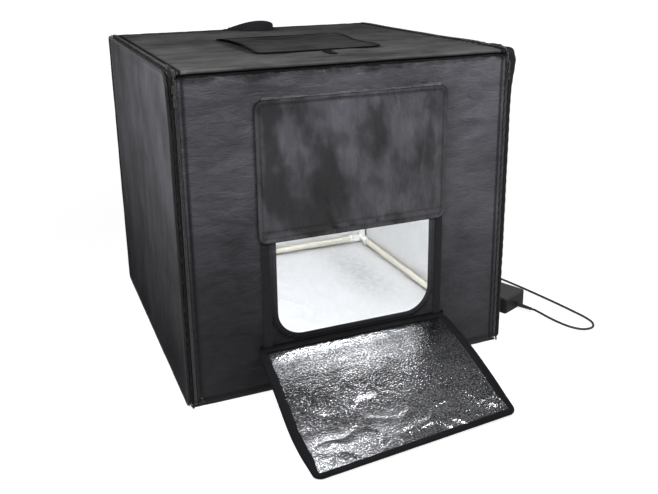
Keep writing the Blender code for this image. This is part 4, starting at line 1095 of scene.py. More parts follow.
@dataclass
class Lead:
    """The adapter's lead: straight out of its strain relief, over the ground and into a tied coil."""

    yaw: float = 22.3 * DEGREE
    foot: Triple = (408 * MM, -202.5 * MM, 0)
    relief_side: float = 9 * MM
    relief_height: float = 8 * MM
    relief_length: float = 33 * MM
    ground: float = 0.3 * MM
    coil_centre: tuple[float, float] = (388 * MM, 100 * MM)
    coil_radius: float = 24.5 * MM
    turns: int = 3
    turn_points: int = 24
    turn_gap: float = 0.6 * MM
    layer_gap: float = 0.5 * MM
    route: tuple[Triple, ...] = ((142, 28, 1.5), (149, 3, 0.1), (158, -21, 0), (173, -37, 0), (194, -38, 0),
                                 (208, -22, 0), (211, 3, 0), (207, 38, 0), (200, 85, 0), (191, 135, 0),
                                 (180, 190, 0), (167, 245, 0), (153, 295, 0), (137, 338, 0))

    def turn(self, local: Sequence[float]) -> Vector:
        """A point given in the adapter's own directions."""
        return Vector(self.foot) + Matrix.Rotation(self.yaw, 3, "Z") @ Vector(local)

    def tip(self) -> tuple[Vector, Vector]:
        """The middle of the strain relief's tip, and the way it points."""
        place = self.turn((self.relief_side, -self.relief_length, self.relief_height))
        return place, Matrix.Rotation(self.yaw, 3, "Z") @ -Y

    def coil(self) -> list[Vector]:
        """The coil's centre line: in over the lower layer, up, and out over the upper one."""
        inward = (SIZES.lead + self.turn_gap) * self.turns
        lower, climb = self.ground + SIZES.lead / 2, SIZES.lead + self.layer_gap
        points = []
        for number in range(2 * self.turns * self.turn_points + 1):
            from_middle = number / self.turn_points - self.turns
            radius = self.coil_radius + inward / 2 - inward * (1 - abs(from_middle) / self.turns)
            angle = 2 * math.pi * number / self.turn_points
            height = lower + climb * smooth(from_middle, -0.25, 0.25)
            points.append(Vector((self.coil_centre[0] + radius * math.cos(angle),
                                  self.coil_centre[1] + radius * math.sin(angle), height)))
        leave = [points[-1] + Y * SIZES.lead, points[-1] + Y * SIZES.lead * 2]
        return [points[0] - Y * SIZES.lead, *points, *leave]

    def free_run(self, entry: Vector) -> list[Vector]:
        """Points from the strain relief over the ground to the coil, on one smooth curve."""
        tip, out = self.tip()
        places = [tip + out * self.ground, tip + out * (self.ground + 2 * SIZES.lead)]
        flat = self.ground + SIZES.lead / 2
        for from_side, from_front, rise in self.route:
            x, y = SIZES.half + from_side * MM, -SIZES.half + from_front * MM
            places.append(Vector((x, y, flat + rise * MM)))
        places += [entry - Y * 3 * SIZES.lead, entry - Y * self.ground]
        return even_curve(places, 1.5 * SIZES.lead)

    def build(self, looks: Looks) -> None:
        """Make the lead, its tie, its strain relief and its connector."""
        coil = self.coil()
        points = self.free_run(coil[0]) + coil
        length = sum((second - first).length for first, second in zip(points, points[1:]))
        data = bpy.data.curves.new("adapter_lead", "CURVE")
        data.dimensions, data.use_fill_caps = "3D", True
        data.bevel_depth, data.bevel_resolution = SIZES.lead / 2, 4
        spline = data.splines.new("POLY")
        spline.points.add(len(points) - 1)
        for point, place in zip(spline.points, points):
            point.co = (*place, 1)
        data.materials.append(looks.rubber)
        lead = linked("adapter_lead", data)
        dressed(lead, "root", "lead_rubber", "lead_free_run", "lead_coil")
        plug = self.connector(points[-1], looks)
        tie = self.tie(looks)
        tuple(points[0])
        self.strain_relief(looks)

    def connector(self, end: Vector, looks: Looks) -> Piece:
        """The connector on the lead's end: a ribbed grip and a metal barrel with its bore."""
        grip = [(0.3, 2.6), (1.2, 3.0)]
        for rib in range(4):
            start = 2.0 + rib * 1.9
            grip += [(start, 2.9 + rib * 0.3), (start + 0.2, 3.3 + rib * 0.35),
                     (start + 1.2, 3.4 + rib * 0.35), (start + 1.4, 3.0 + rib * 0.3)]
        grip += [(10.2, 4.4), (11.2, 4.95), (25.2, 4.95), (25.8, 4.7), (26.0, 4.2)]
        made = finished("lead_plug", turned(in_mm(grip), end, Y), looks.plug)
        barrel = in_mm([(25.6, 2.75), (35.7, 2.75), (36, 2.5), (36, 1.3), (28, 1.3), (28, 0.2)])
        shaft = finished("lead_plug_barrel", turned(barrel, end, Y), looks.nickel)
        dressed(made, "root", "connector_moulding", "lead_connector")
        shaft.parent = made
        return made

    def tie(self, looks: Looks) -> Piece:
        """A strap tie round the coil's turns."""
        centre = Vector((*self.coil_centre, 0))
        out = Matrix.Rotation(200 * DEGREE, 3, "Z") @ X
        side = Z.cross(out)
        loop = rounded((self.coil_radius - 10.6 * MM, 0.28 * MM, self.coil_radius + 11.0 * MM, 10.4 * MM),
                       (2 * MM,) * 4, 6)
        stations = []
        for (a, b), (c, d), (e, f) in zip(loop[-1:] + loop[:-1], loop, loop[1:] + loop[:1]):
            along = (out * (e - a) + Z * (f - b)).normalized()
            stations.append((centre + out * c + Z * d, side, along.cross(side)))
        strip = swept(oblong(4, 0.25), stations, closed=True)
        made = finished("lead_tie", strip, looks.webbing)
        return dressed(made, "root", "lead_rubber")

    def strain_relief(self, looks: Looks) -> None:
        """The ribbed, tapered sleeve where the lead leaves the adapter."""
        profile = [(-4.0, 4.8), (-2.5, 4.8), (-2.4, 3.6), (0.3, 3.6), (0.35, 4.6), (0.7, 4.8)]
        ribs, pitch = 6, 33 / 7
        for rib in range(1, ribs + 1):
            radius = 4.8 - 1.6 * rib / (ribs + 1)
            at, quarter = pitch * rib, pitch / 4
            profile += [(at - quarter - 0.3, radius), (at - quarter, radius - 0.3),
                        (at - quarter + 0.1, radius - 0.8), (at + quarter - 0.1, radius - 0.8),
                        (at + quarter, radius - 0.3), (at + quarter + 0.3, radius)]
        profile += [(32.6, 3.2), (33.0, 2.8)]
        base = self.turn((self.relief_side, 0, self.relief_height))
        sleeve = turned(in_mm(profile), base, self.tip()[1])
        dressed(finished("relief_sleeve", sleeve, looks.rubber), "root", "lead_rubber", "lead_strain_relief")


def on_curve(values: Sequence[Any], i: int, t: float) -> Any:
    """The value at a share t of the way from value i to the next, on a smooth curve through all."""
    a, b = values[i], values[i + 1]
    before = values[i - 1] if i > 0 else 2 * a - b
    after = values[i + 2] if i + 2 < len(values) else 2 * b - a
    start, end = (b - before) / 2, (after - a) / 2
    return (a * (2 * t**3 - 3 * t**2 + 1) + start * (t**3 - 2 * t**2 + t)
            + b * (3 * t**2 - 2 * t**3) + end * (t**3 - t**2))


def even_curve(places: Sequence[Vector], spacing: float) -> list[Vector]:
    """Points at even spacing on a smooth curve through chosen places."""
    fine = [on_curve(places, i, step / CURVE_STEPS) for i in range(len(places) - 1)
            for step in range(CURVE_STEPS)]
    fine.append(places[-1])
    length = sum((second - first).length for first, second in zip(fine, fine[1:]))
    count = round(length / spacing)
    even, walked, target = [fine[0]], 0.0, length / count
    for first, second in zip(fine, fine[1:]):
        span = (second - first).length
        while walked + span >= target and len(even) < count:
            even.append(first.lerp(second, (target - walked) / span))
            target += length / count
        walked += span
    return [*even, fine[-1]]


# The adapter


@dataclass
class Adapter:
    """The adapter's own parts keep their shape and get their finishes."""

    def build(self, looks: Looks) -> None:
        """Dress the adapter's nodes."""
        for node, look, slot in (("adapter_lower_shell", looks.case, "adapter_case"),
                                 ("adapter_upper_shell", looks.case, "adapter_case"),
                                 ("adapter_inlet", looks.inlet, "inlet_moulding"),
                                 ("adapter_board", looks.adapter_board, "circuit_board")):
            paint(node, look)


def paint(node: str, look: Look) -> None:
    """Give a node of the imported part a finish."""
    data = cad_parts[node].data
    data.materials.clear()
    data.materials.append(look)
    log.info("%s keeps its shape", node)


# The tube frame


@dataclass
class TubeFrame:
    """Twelve tubes in eight three-way corner sockets."""

    radius: float = 7 * MM
    corner_x: float = 284.6 * MM
    corner_y: float = 286.6 * MM
    low: float = 13.4 * MM
    high: float = 541.6 * MM
    reach: float = 34 * MM
    seat: float = 12.3 * MM
    sleeve_radius: float = 9.5 * MM
    collar: float = 0.5 * MM

    def tube(self, name: str, start: Vector, end: Vector, looks: Looks, node: str) -> None:
        """One tube with rolled ends."""
        length = (end - start).length
        roll = 0.5 * MM
        profile = [(roll, self.radius - 1 * MM), (0, self.radius - roll), (roll, self.radius)]
        profile += [(length - roll, self.radius), (length, self.radius - roll),
                    (length - roll, self.radius - 1 * MM)]
        dressed(finished(name, turned(profile, start, end - start, 40), looks.tube), "root", "frame_tube",
                node)

    def sleeve(self, arm: Vector, radius: float) -> Shape:
        """One sleeve of a socket, with a collar at its mouth and a rounded end."""
        start, mouth = -8 * MM, self.reach
        profile = [(start, radius - 2.2 * MM), (start + 0.7 * MM, radius - 0.7 * MM),
                   (start + 2.2 * MM, radius), (mouth - 5 * MM, radius),
                   (mouth - 4.6 * MM, radius + self.collar), (mouth - 0.6 * MM, radius + self.collar),
                   (mouth, radius - 0.2 * MM)]
        return turned(profile, Vector((0, 0, 0)), arm, 40)

    def socket(self) -> Shape:
        """A corner socket with its arms along +X, +Y and +Z, bored for its tubes."""
        radius = self.sleeve_radius
        arms = (X, Y, Z)
        steps = [("UNION", self.sleeve(arm, radius - number * 0.15 * MM))
                 for number, arm in enumerate(arms)][1:]
        for arm in arms:
            bore = [(self.seat - 0.2 * MM, self.radius + 0.15 * MM),
                    (self.reach + 2 * MM, self.radius + 0.15 * MM)]
            steps.append(("DIFFERENCE", turned(bore, Vector((0, 0, 0)), arm, 40)))
        return combined(self.sleeve(X, radius), steps)

    def build(self, looks: Looks) -> None:
        """Make the tubes and the sockets."""
        x, y = self.corner_x, self.corner_y
        for side in Side:
            sx = side.value * x
            for end, sy in (("front", -y), ("rear", y)):
                self.tube(f"upright_{end}_{side.word}", Vector((sx, sy, self.low + self.seat)),
                          Vector((sx, sy, self.high - self.seat)), looks, f"frame_upright_{end}_{side.word}")
        for level, z in (("bottom", self.low), ("top", self.high)):
            for side in Side:
                sx = side.value * x
                self.tube(f"rail_{level}_{side.word}", Vector((sx, -y + self.seat, z)),
                          Vector((sx, y - self.seat, z)), looks, f"frame_rail_{level}_{side.word}")
            for end, sy in (("front", -y), ("rear", y)):
                self.tube(f"rail_{level}_{end}", Vector((-x + self.seat, sy, z)),
                          Vector((x - self.seat, sy, z)), looks, f"frame_rail_{level}_{end}")
        master = self.socket()
        for level, z, up in (("bottom", self.low, 1), ("top", self.high, -1)):
            for side in Side:
                for end, sy, along in (("front", -y, 1), ("rear", y, -1)):
                    shape = master.copy()
                    turn = Matrix.Diagonal((-side.value, along, up, 1))
                    bmesh.ops.transform(shape, matrix=Matrix.Translation((side.value * x, sy, z)) @ turn,
                                        verts=shape.verts)
                    bmesh.ops.recalc_face_normals(shape, faces=shape.faces)
                    made = finished(f"socket_{level}_{end}_{side.word}", shape, looks.white, 35)
                    dressed(made, "root", "white_moulding", f"corner_socket_{level}_{end}_{side.word}")
        master.free()


# The zips


PUCKER_PITCH = 17 * MM
BULGE_PLACE, BULGE_WIDTH, BULGE_HEIGHT = 470 * MM, 110 * MM, 2.2 * MM
CORNER_Y, CORNER_Z = -297 * MM, 545 * MM
PULL_WIDTH_Y, PULL_WIDTH_Z = 32 * MM, 42 * MM


def pucker(distance: float, side: Side) -> float:
    """How far a zip and its tapes are drawn out of their line, by the distance along them."""
    phase = 2.2 * noise.noise(Vector((distance / 0.06, side.value * 3.1, 0.4)))
    swell = 0.6 + 0.5 * noise.noise(Vector((distance / 0.09, 7.3, side.value)))
    most = 2.0 * MM if side is Side.RIGHT and distance < SIZES.half * 1.9 else 0.9 * MM
    bulge = BULGE_HEIGHT * hump(distance, BULGE_PLACE, BULGE_WIDTH) if side is Side.RIGHT else 0.0
    return bulge + most * swell * math.sin(2 * math.pi * distance / PUCKER_PITCH + phase)


def corner_pull(side: Side, y: float, z: float) -> float:
    """How far the seam of a side stands out sideways near its front top corner."""
    most = 7.5 * MM if side is Side.RIGHT else 1.5 * MM
    return most * math.exp(-(((y - CORNER_Y) / PULL_WIDTH_Y) ** 2) - (((z - CORNER_Z) / PULL_WIDTH_Z) ** 2))


def lid_line(start: float, end_z: float, radius: float, steps: int = 10) -> Profile:
    """The line along the roof, round its front edge and down the front."""
    half, height = SIZES.half, SIZES.height
    points = [(start, height)]
    for step in range(steps + 1):
        angle = math.pi / 2 * (1 + step / steps)
        points.append((-half + radius + radius * math.cos(angle), height - radius + radius * math.sin(angle)))
    if end_z < height - radius - 1e-6:
        points.append((-half, end_z))
    return Profile(points)


@dataclass
class Zips:
    """The two zips between the tub and the lid: tapes, teeth and sliders."""

    tape: float = 1.0 * MM
    rear: float = 297 * MM
    tub_row: float = 290.4 * MM
    lid_row: float = 288.0 * MM
    slider_x: float = 291.2 * MM
    slider_rise: float = 2.1 * MM
    gap: float = 2.5 * MM
    tooth: Repeat = Repeat(pitch=1.7 * MM, size=(1.25 * MM, 3.0 * MM, 1.9 * MM), segments=8, rings=6,
                           lean=0.22)

    def __post_init__(self) -> None:
        """Draw the zips' line from the back over the front edge to the ground."""
        self.line = lid_line(self.rear, SIZES.zip_foot, SIZES.nose)

    def station(self, distance: float, x: float, side: Side, rise: float) -> tuple[Vector, Vector]:
        """A place above the zip's line at an X, and its outward direction."""
        line = self.line
        step = 1 * MM
        along = line.point(0, distance + step) - line.point(0, distance - step)
        out = along.cross(X).normalized()
        fade = ramp(distance, 0, 30) * (1 - smooth(distance, line.length - 30 * MM, line.length))
        lift = pucker(distance, side) * fade
        return Vector((side.value * x, *line.at(distance))) + out * (rise + max(lift, -0.3 * MM)), out

    def tub_tape(self, side: Side, looks: Looks) -> None:
        """The tub's tape, with its outer edge sewn to the side."""
        length = self.line.length
        count = round(length / (3 * MM))
        stations = []
        for i in range(count + 1):
            place, out = self.station(length * i / count, 0, side, 0)
            stations.append((place, X * side.value, out))
        edge, seam = SIZES.zip_line, SIZES.strip_edge + 0.6 * MM
        outline = [(edge, -self.tape), (seam, -self.tape), (seam, 0.5 * MM), (seam - 1.2 * MM, 0.9 * MM),
                   (seam - 2.4 * MM, 0.2 * MM), (edge + 1.0 * MM, 0), (edge, -0.2 * MM)]
        shape = swept(outline, stations)
        for vert in shape.verts:
            share = smooth(abs(vert.co.x), edge, seam)
            vert.co.x += side.value * share * corner_pull(side, vert.co.y, vert.co.z)
        dressed(finished(f"tub_tape_{side.word}", shape, looks.tape), "root", "zip_tape",
                f"zip_tape_{side.word}")

    def teeth(self, name: str, side: Side, x: float, start: float, end: float, body: str,
              looks: Looks) -> None:
        """One row of teeth between two distances along the zip."""
        count = max(2, round((end - start) / (4 * MM)))
        run = [self.station(start + (end - start) * i / count, x, side, 0.9 * MM) for i in range(count + 1)]
        made = self.tooth.along(name, [run], looks.coil)
        dressed(made, body, "zip_tape")

    def build(self, looks: Looks) -> None:
        """Make both zips."""
        line = self.line
        split = line.length - (SIZES.door_top - SIZES.zip_foot)
        for side in Side:
            self.tub_tape(side, looks)
            for kind, x, start, end, body in (("tub", self.tub_row, 2 * MM, line.length - 1 * MM, "root"),
                                              ("roof", self.lid_row, 3.0 * MM, split - self.gap, "roof"),
                                              ("door", self.lid_row, split + self.gap, line.length - 2 * MM,
                                               "door")):
                self.teeth(f"{kind}_teeth_{side.word}", side, x, start, end, body, looks)
            self.slider(f"door_slider_{side.word}", side, Vector((0, -SIZES.half, 529 * MM)), -Z, -Y, looks)
            self.slider(f"roof_slider_{side.word}", side, Vector((0, -274 * MM, SIZES.height)), Y, Z, looks)
            self.end_tail(side, looks)

    def slider(self, body: str, side: Side, place: Vector, along: Vector, out: Vector, looks: Looks) -> None:
        """A slider with its bridge and a pull that lies the way it opens."""
        foot = place + X * side.value * self.slider_x + out * self.slider_rise
        plate = [(-2.1, -6.5), (2.1, -6.5), (3.7, -3.2), (3.3, 0.5), (3.7, 3.5),
                 (3.4, 6.5), (-3.4, 6.5), (-3.7, 3.5), (-3.3, 0.5), (-3.7, -3.2)]

        def laid(shape: Shape, ease: float) -> Shape:
            """Ease a shape's edges and lay it at the slider's place."""
            edges = [edge for edge in shape.edges if edge.calc_face_angle(0) > 0.5]
            bmesh.ops.bevel(shape, geom=edges, offset=ease * MM, segments=2, affect="EDGES")
            bmesh.ops.transform(shape, matrix=laid_at(foot, X, along, out), verts=shape.verts)
            bmesh.ops.recalc_face_normals(shape, faces=shape.faces)
            return shape

        body_plate = laid(prism(in_mm(plate), -1.7 * MM, 1.6 * MM), 0.35)
        arch = []
        for step in range(9):
            angle = math.pi * step / 8
            arch.append((Vector((0, -4.2 * MM * math.cos(angle), 1.2 * MM + 2.3 * MM * math.sin(angle))), X,
                         Vector((0, -math.cos(angle), math.sin(angle)))))
        bridge = laid(swept(oblong(1.1, 0.45), arch), 0.2)
        grip = [(-1.3, 2.2), (1.3, 2.2), (1.3, 7.6), (2.7, 10.4), (2.7, 25.2),
                (1.7, 26.4), (-1.7, 26.4), (-2.7, 25.2), (-2.7, 10.4), (-1.3, 7.6)]
        pull = prism(in_mm(grip), 1.7 * MM, 2.9 * MM)
        slot = prism(rounded((-1.1 * MM, 14 * MM, 1.1 * MM, 23 * MM), (1.0 * MM,) * 4, 5), 0, 5 * MM)
        pull = laid(combined(pull, [("DIFFERENCE", slot)]), 0.25)
        made = finished(body, joined([body_plate, bridge, pull]), looks.slider, 30)
        kind, word = body.split("_slider_")
        dressed(made, body, "zip_metal", f"{kind}_zip_slider_{word}")

    def end_tail(self, side: Side, looks: Looks) -> None:
        """The zip's free end below the door, which sticks out a little."""
        top = Vector((side.value * 291 * MM, -SIZES.half - 1.2 * MM, 16 * MM))
        tip = Vector((side.value * 294 * MM, -SIZES.half - 2.4 * MM, 1.4 * MM))
        middle = top.lerp(tip, 0.5) + Vector((side.value * 0.6 * MM, -0.4 * MM, 0))
        curve = even_curve([top, middle, tip], 2 * MM)
        stations = []
        for i, place in enumerate(curve):
            along = (curve[min(i + 1, len(curve) - 1)] - curve[max(i - 1, 0)]).normalized()
            stations.append((place, X, along.cross(X)))
        tail = finished(f"zip_tail_{side.word}", swept(oblong(1.6, 0.5), stations), looks.webbing)
        dressed(tail, "root", "zip_tape")


# The tub: side, rear and floor cloth, their lining and the piping


@dataclass
class Tub:
    """The cloth and lining that stay where they are, and the piping round the sides."""

    piping_ground: float = 1 * MM
    front_top_radius: float = 22 * MM
    corner_radius: float = 10 * MM
    side_inset: float = 2.6 * MM
    lip_y: float = -296 * MM

    def side_box(self, inset: float) -> Box:
        """The side's box in Y and Z, drawn in from the piping's centre line."""
        half = SIZES.half - SIZES.piping_radius - inset
        low = self.piping_ground + SIZES.piping_radius + inset
        high = SIZES.height - SIZES.piping_radius - inset
        return (-half, low, half, high)

    def side_outline(self, inset: float, steps: int) -> Outline:
        """The side's outline with its rounded corners."""
        corner = self.corner_radius - inset
        return rounded(self.side_box(inset), (corner, corner, corner, self.front_top_radius - inset), steps)

    def side_cloth(self, side: Side, looks: Looks) -> None:
        """A side panel: drawn tight at its edges, with long soft folds that hang from the top."""
        seed = 3.0 + side.value
        box = self.side_box(self.side_inset)

        def lift(y: float, z: float) -> float:
            """The panel's soft shape."""
            edge = inside(y, z, box, 12 * MM)
            fade = ramp(edge, 0, 55)
            close = ramp(edge, 0, 12)
            hang = field(y, z, 75, 430, seed, 2)
            soft = field(y, z, 160, 260, seed + 5, 2)
            creases = ridges(y, z, 45, 260, seed + 9)
            roll = 1.1 * MM * hump(edge, 7 * MM, 4 * MM)
            pull = corner_pull(side, y, z)
            return (1.2 * MM + 1.7 * MM * hang + 1.6 * MM * soft
                    + 0.7 * MM * creases * close) * fade + roll + pull

        shape = flat_slab(self.side_outline(self.side_inset, 8), [], SIZES.cloth, 5 * MM)
        sign = side.value
        origin = X * sign * (SIZES.half - 0.4 * MM)

        def dark(y: float, z: float) -> float:
            """Darker towards the ground, where less light falls."""
            return 0.62 * (1 - ramp(z, 0, 420))

        made = finished(f"side_cloth_{side.word}", bent(shape, on_plane(origin, Y, Z, X * sign, lift), dark),
                        looks.side)
        dressed(made, "root", "black_coated_cloth", f"side_panel_{side.word}")

    def piping(self, side: Side, looks: Looks) -> None:
        """The thick piping round a side, drawn in and out by the zip beside it."""
        outline = self.side_outline(0, 14)
        points = dense(outline + outline[:1], 3 * MM)
        stations, walked = [], 0.0
        for i, (y, z) in enumerate(points):
            before, after = points[i - 1], points[(i + 1) % len(points)]
            walked += math.dist(before, (y, z))
            along = Vector((0, after[0] - before[0], after[1] - before[1])).normalized()
            out = along.cross(X)
            free = ramp(z, 20, 60) * (1 - smooth(y, 0.24, 0.29))
            lift = pucker(walked * 0.93, side) * 0.75 * free if max(-y, z - 0.25) > 0.2 else 0.0
            across = 0.5 * MM * field(walked, 0, 60, 1, side.value * 2.0, 2)
            x = side.value * (SIZES.piping_x + 0.2 * MM + corner_pull(side, y, z))
            place = Vector((x + across, y, z)) + out * lift
            stations.append((place, X, out))
        shape = swept(circle(SIZES.piping_radius, 16), stations, closed=True)
        made = finished(f"side_piping_{side.word}", shape, looks.piping, 60)
        dressed(made, "root", "black_binding", f"edge_piping_{side.word}")

    def rear_cloth(self, looks: Looks) -> None:
        """The rear panel, with soft folds."""
        box = (-SIZES.strip_edge, 0, SIZES.strip_edge, 547 * MM)

        def lift(x: float, z: float) -> float:
            """The panel's soft shape."""
            fade = ramp(inside(x, z, box, 5 * MM), 0, 60)
            return fade * (waves(1.4, x, z, 120, 300, 21.0, 2) + waves(1.2, x, z, 240, 150, 24.0, 2)
                           + 0.7 * MM * ridges(x, z, 200, 70, 27.0)) + 0.8 * MM * fade

        shape = box_slab(box, 4 * MM, 4, SIZES.cloth, 5.5 * MM)
        place = on_plane(Y * (SIZES.half - 0.2 * MM), -X, Z, Y, lift)
        made = finished("rear_cloth", bent(shape, place), looks.front)
        dressed(made, "root", "black_coated_cloth", "rear_panel")

    def floor_cloth(self, looks: Looks) -> None:
        """The floor panel, flat on the ground."""
        box = (-SIZES.strip_edge, -297.7 * MM, SIZES.strip_edge, 297.7 * MM)

        def lift(x: float, y: float) -> float:
            """The panel's soft shape, kept above the ground."""
            return 0.25 * MM * (1 + field(x, y, 60, 60, 31.0, 2)) * ramp(inside(x, y, box, 5 * MM), 0, 30)

        shape = box_slab(box, 4 * MM, 4, SIZES.cloth, 9 * MM)
        panel = bent(shape, on_plane(Z * (SIZES.cloth + 0.05 * MM), X, Y, Z, lift))
        lip = box_slab((-286 * MM, 2 * MM, 286 * MM, 30 * MM), 3 * MM, 3, SIZES.cloth, 9 * MM)
        lip = bent(lip, on_plane(Y * self.lip_y, X, Z, -Y, lambda x, z: waves(0.3, x, z, 40, 30, 33.0)))
        made = finished("floor_cloth", joined([panel, lip]), looks.front)
        dressed(made, "root", "black_coated_cloth", "floor_panel")

    @staticmethod
    def trodden(x: float, y: float) -> float:
        """How dull the floor's foil is: most in a creased patch on its right."""
        patch = hump(x, 190 * MM, 45 * MM) * hump(y, 110 * MM, 150 * MM)
        return max(0.0, patch * (0.2 + 0.2 * field(x, y, 11, 11, 35.0, 3)))

    def lining(self, looks: Looks) -> None:
        """The tub's silver lining: its floor, back and sides, creased between the tubes."""
        edge, low, high, front = 294.9 * MM, 3.1 * MM, 551.4 * MM, -294.2 * MM

        def crinkled(seed: float, box: Sequence[float], most: float) -> Lift:
            """Creases that fade out towards a panel's edges."""

            def lift(a: float, b: float) -> float:
                """The foil's soft shape."""
                fade = ramp(inside(a, b, box, 4 * MM), 4, 45)
                wave = 0.5 + 0.5 * field(a, b, 70, 70, seed, 3)
                return most * fade * (0.7 * wave + 0.5 * ridges(a, b, 60, 80, seed + 4))

            return lift

        walls = (("floor", (-edge, front, edge, 296.7 * MM), Z * low, X, Y, Z, 2.2 * MM, (0.59, 0.592)),
                 ("rear", (-edge, low, edge, high), Y * 296.9 * MM, -X, Z, -Y, 1.6 * MM, (0.59, 0.549)),
                 ("left", (front, low, 296.7 * MM, high), X * -edge, -Y, Z, X, 1.6 * MM, (0.592, 0.549)),
                 ("right", (front, low, 296.7 * MM, high), X * edge, Y, Z, -X, 1.6 * MM, (0.592, 0.549)))
        for number, (name, box, origin, across, up, out, most, flat) in enumerate(walls):
            if name == "left":
                box = (-box[2], box[1], -box[0], box[3])
            shape = box_slab(box, 2 * MM, 3, SIZES.foil, 5.5 * MM)
            lift = crinkled(41.0 + number * 3, box, most)
            toned = self.trodden if name == "floor" else None
            made = finished(f"lining_{name}", bent(shape, on_plane(origin, across, up, out, lift), toned),
                            looks.lining, 80)
            dressed(made, "root", "silver_foil", "tub_lining")

    def build(self, looks: Looks) -> None:
        """Make the tub's pieces."""
        for side in Side:
            self.side_cloth(side, looks)
            self.piping(side, looks)
        self.rear_cloth(looks)
        self.floor_cloth(looks)
        self.lining(looks)


# The lid: roof, its flap, tab and handle


def hinge_cloth(name: str, line: Profile, half: float, first: str, second: str, x: float, look: Look) -> None:
    """A strip of cloth sewn over a hinge line, which bends between two bodies.

    Args:
        name: the strip's name.
        line: its line from the first body to the second, in Y and Z.
        half: half its width.
        first: the body at the line's start.
        second: the body at its end.
        x: the middle of its width.
        look: its finish.
    """
    shape = box_slab((-half, 0, half, line.length), 1.5 * MM, 3, 0.9 * MM, 2.6 * MM)

    def lift(a: float, distance: float) -> float:
        """Small waves along the seam."""
        return waves(0.5, a, distance, 22, 20, 81.0 + half, 2)

    def dark(a: float, distance: float) -> float:
        """Painted shade along its two sewn edges, where it meets the panels."""
        return 0.85 * (hump(distance, 1 * MM, 2 * MM) + hump(distance, line.length - 1 * MM, 2.5 * MM))

    place = on_surface(lambda a, distance: line.point(x - a, distance),
                       lambda a, distance: lift(-a, distance))
    made = finished(name, bent(shape, place, dark), look)
    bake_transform(made, first, second, start=line.point(x, line.length * 0.15),
             end=line.point(x, line.length * 0.85))
    log.info("%s bends between %s and %s", name, first, second)


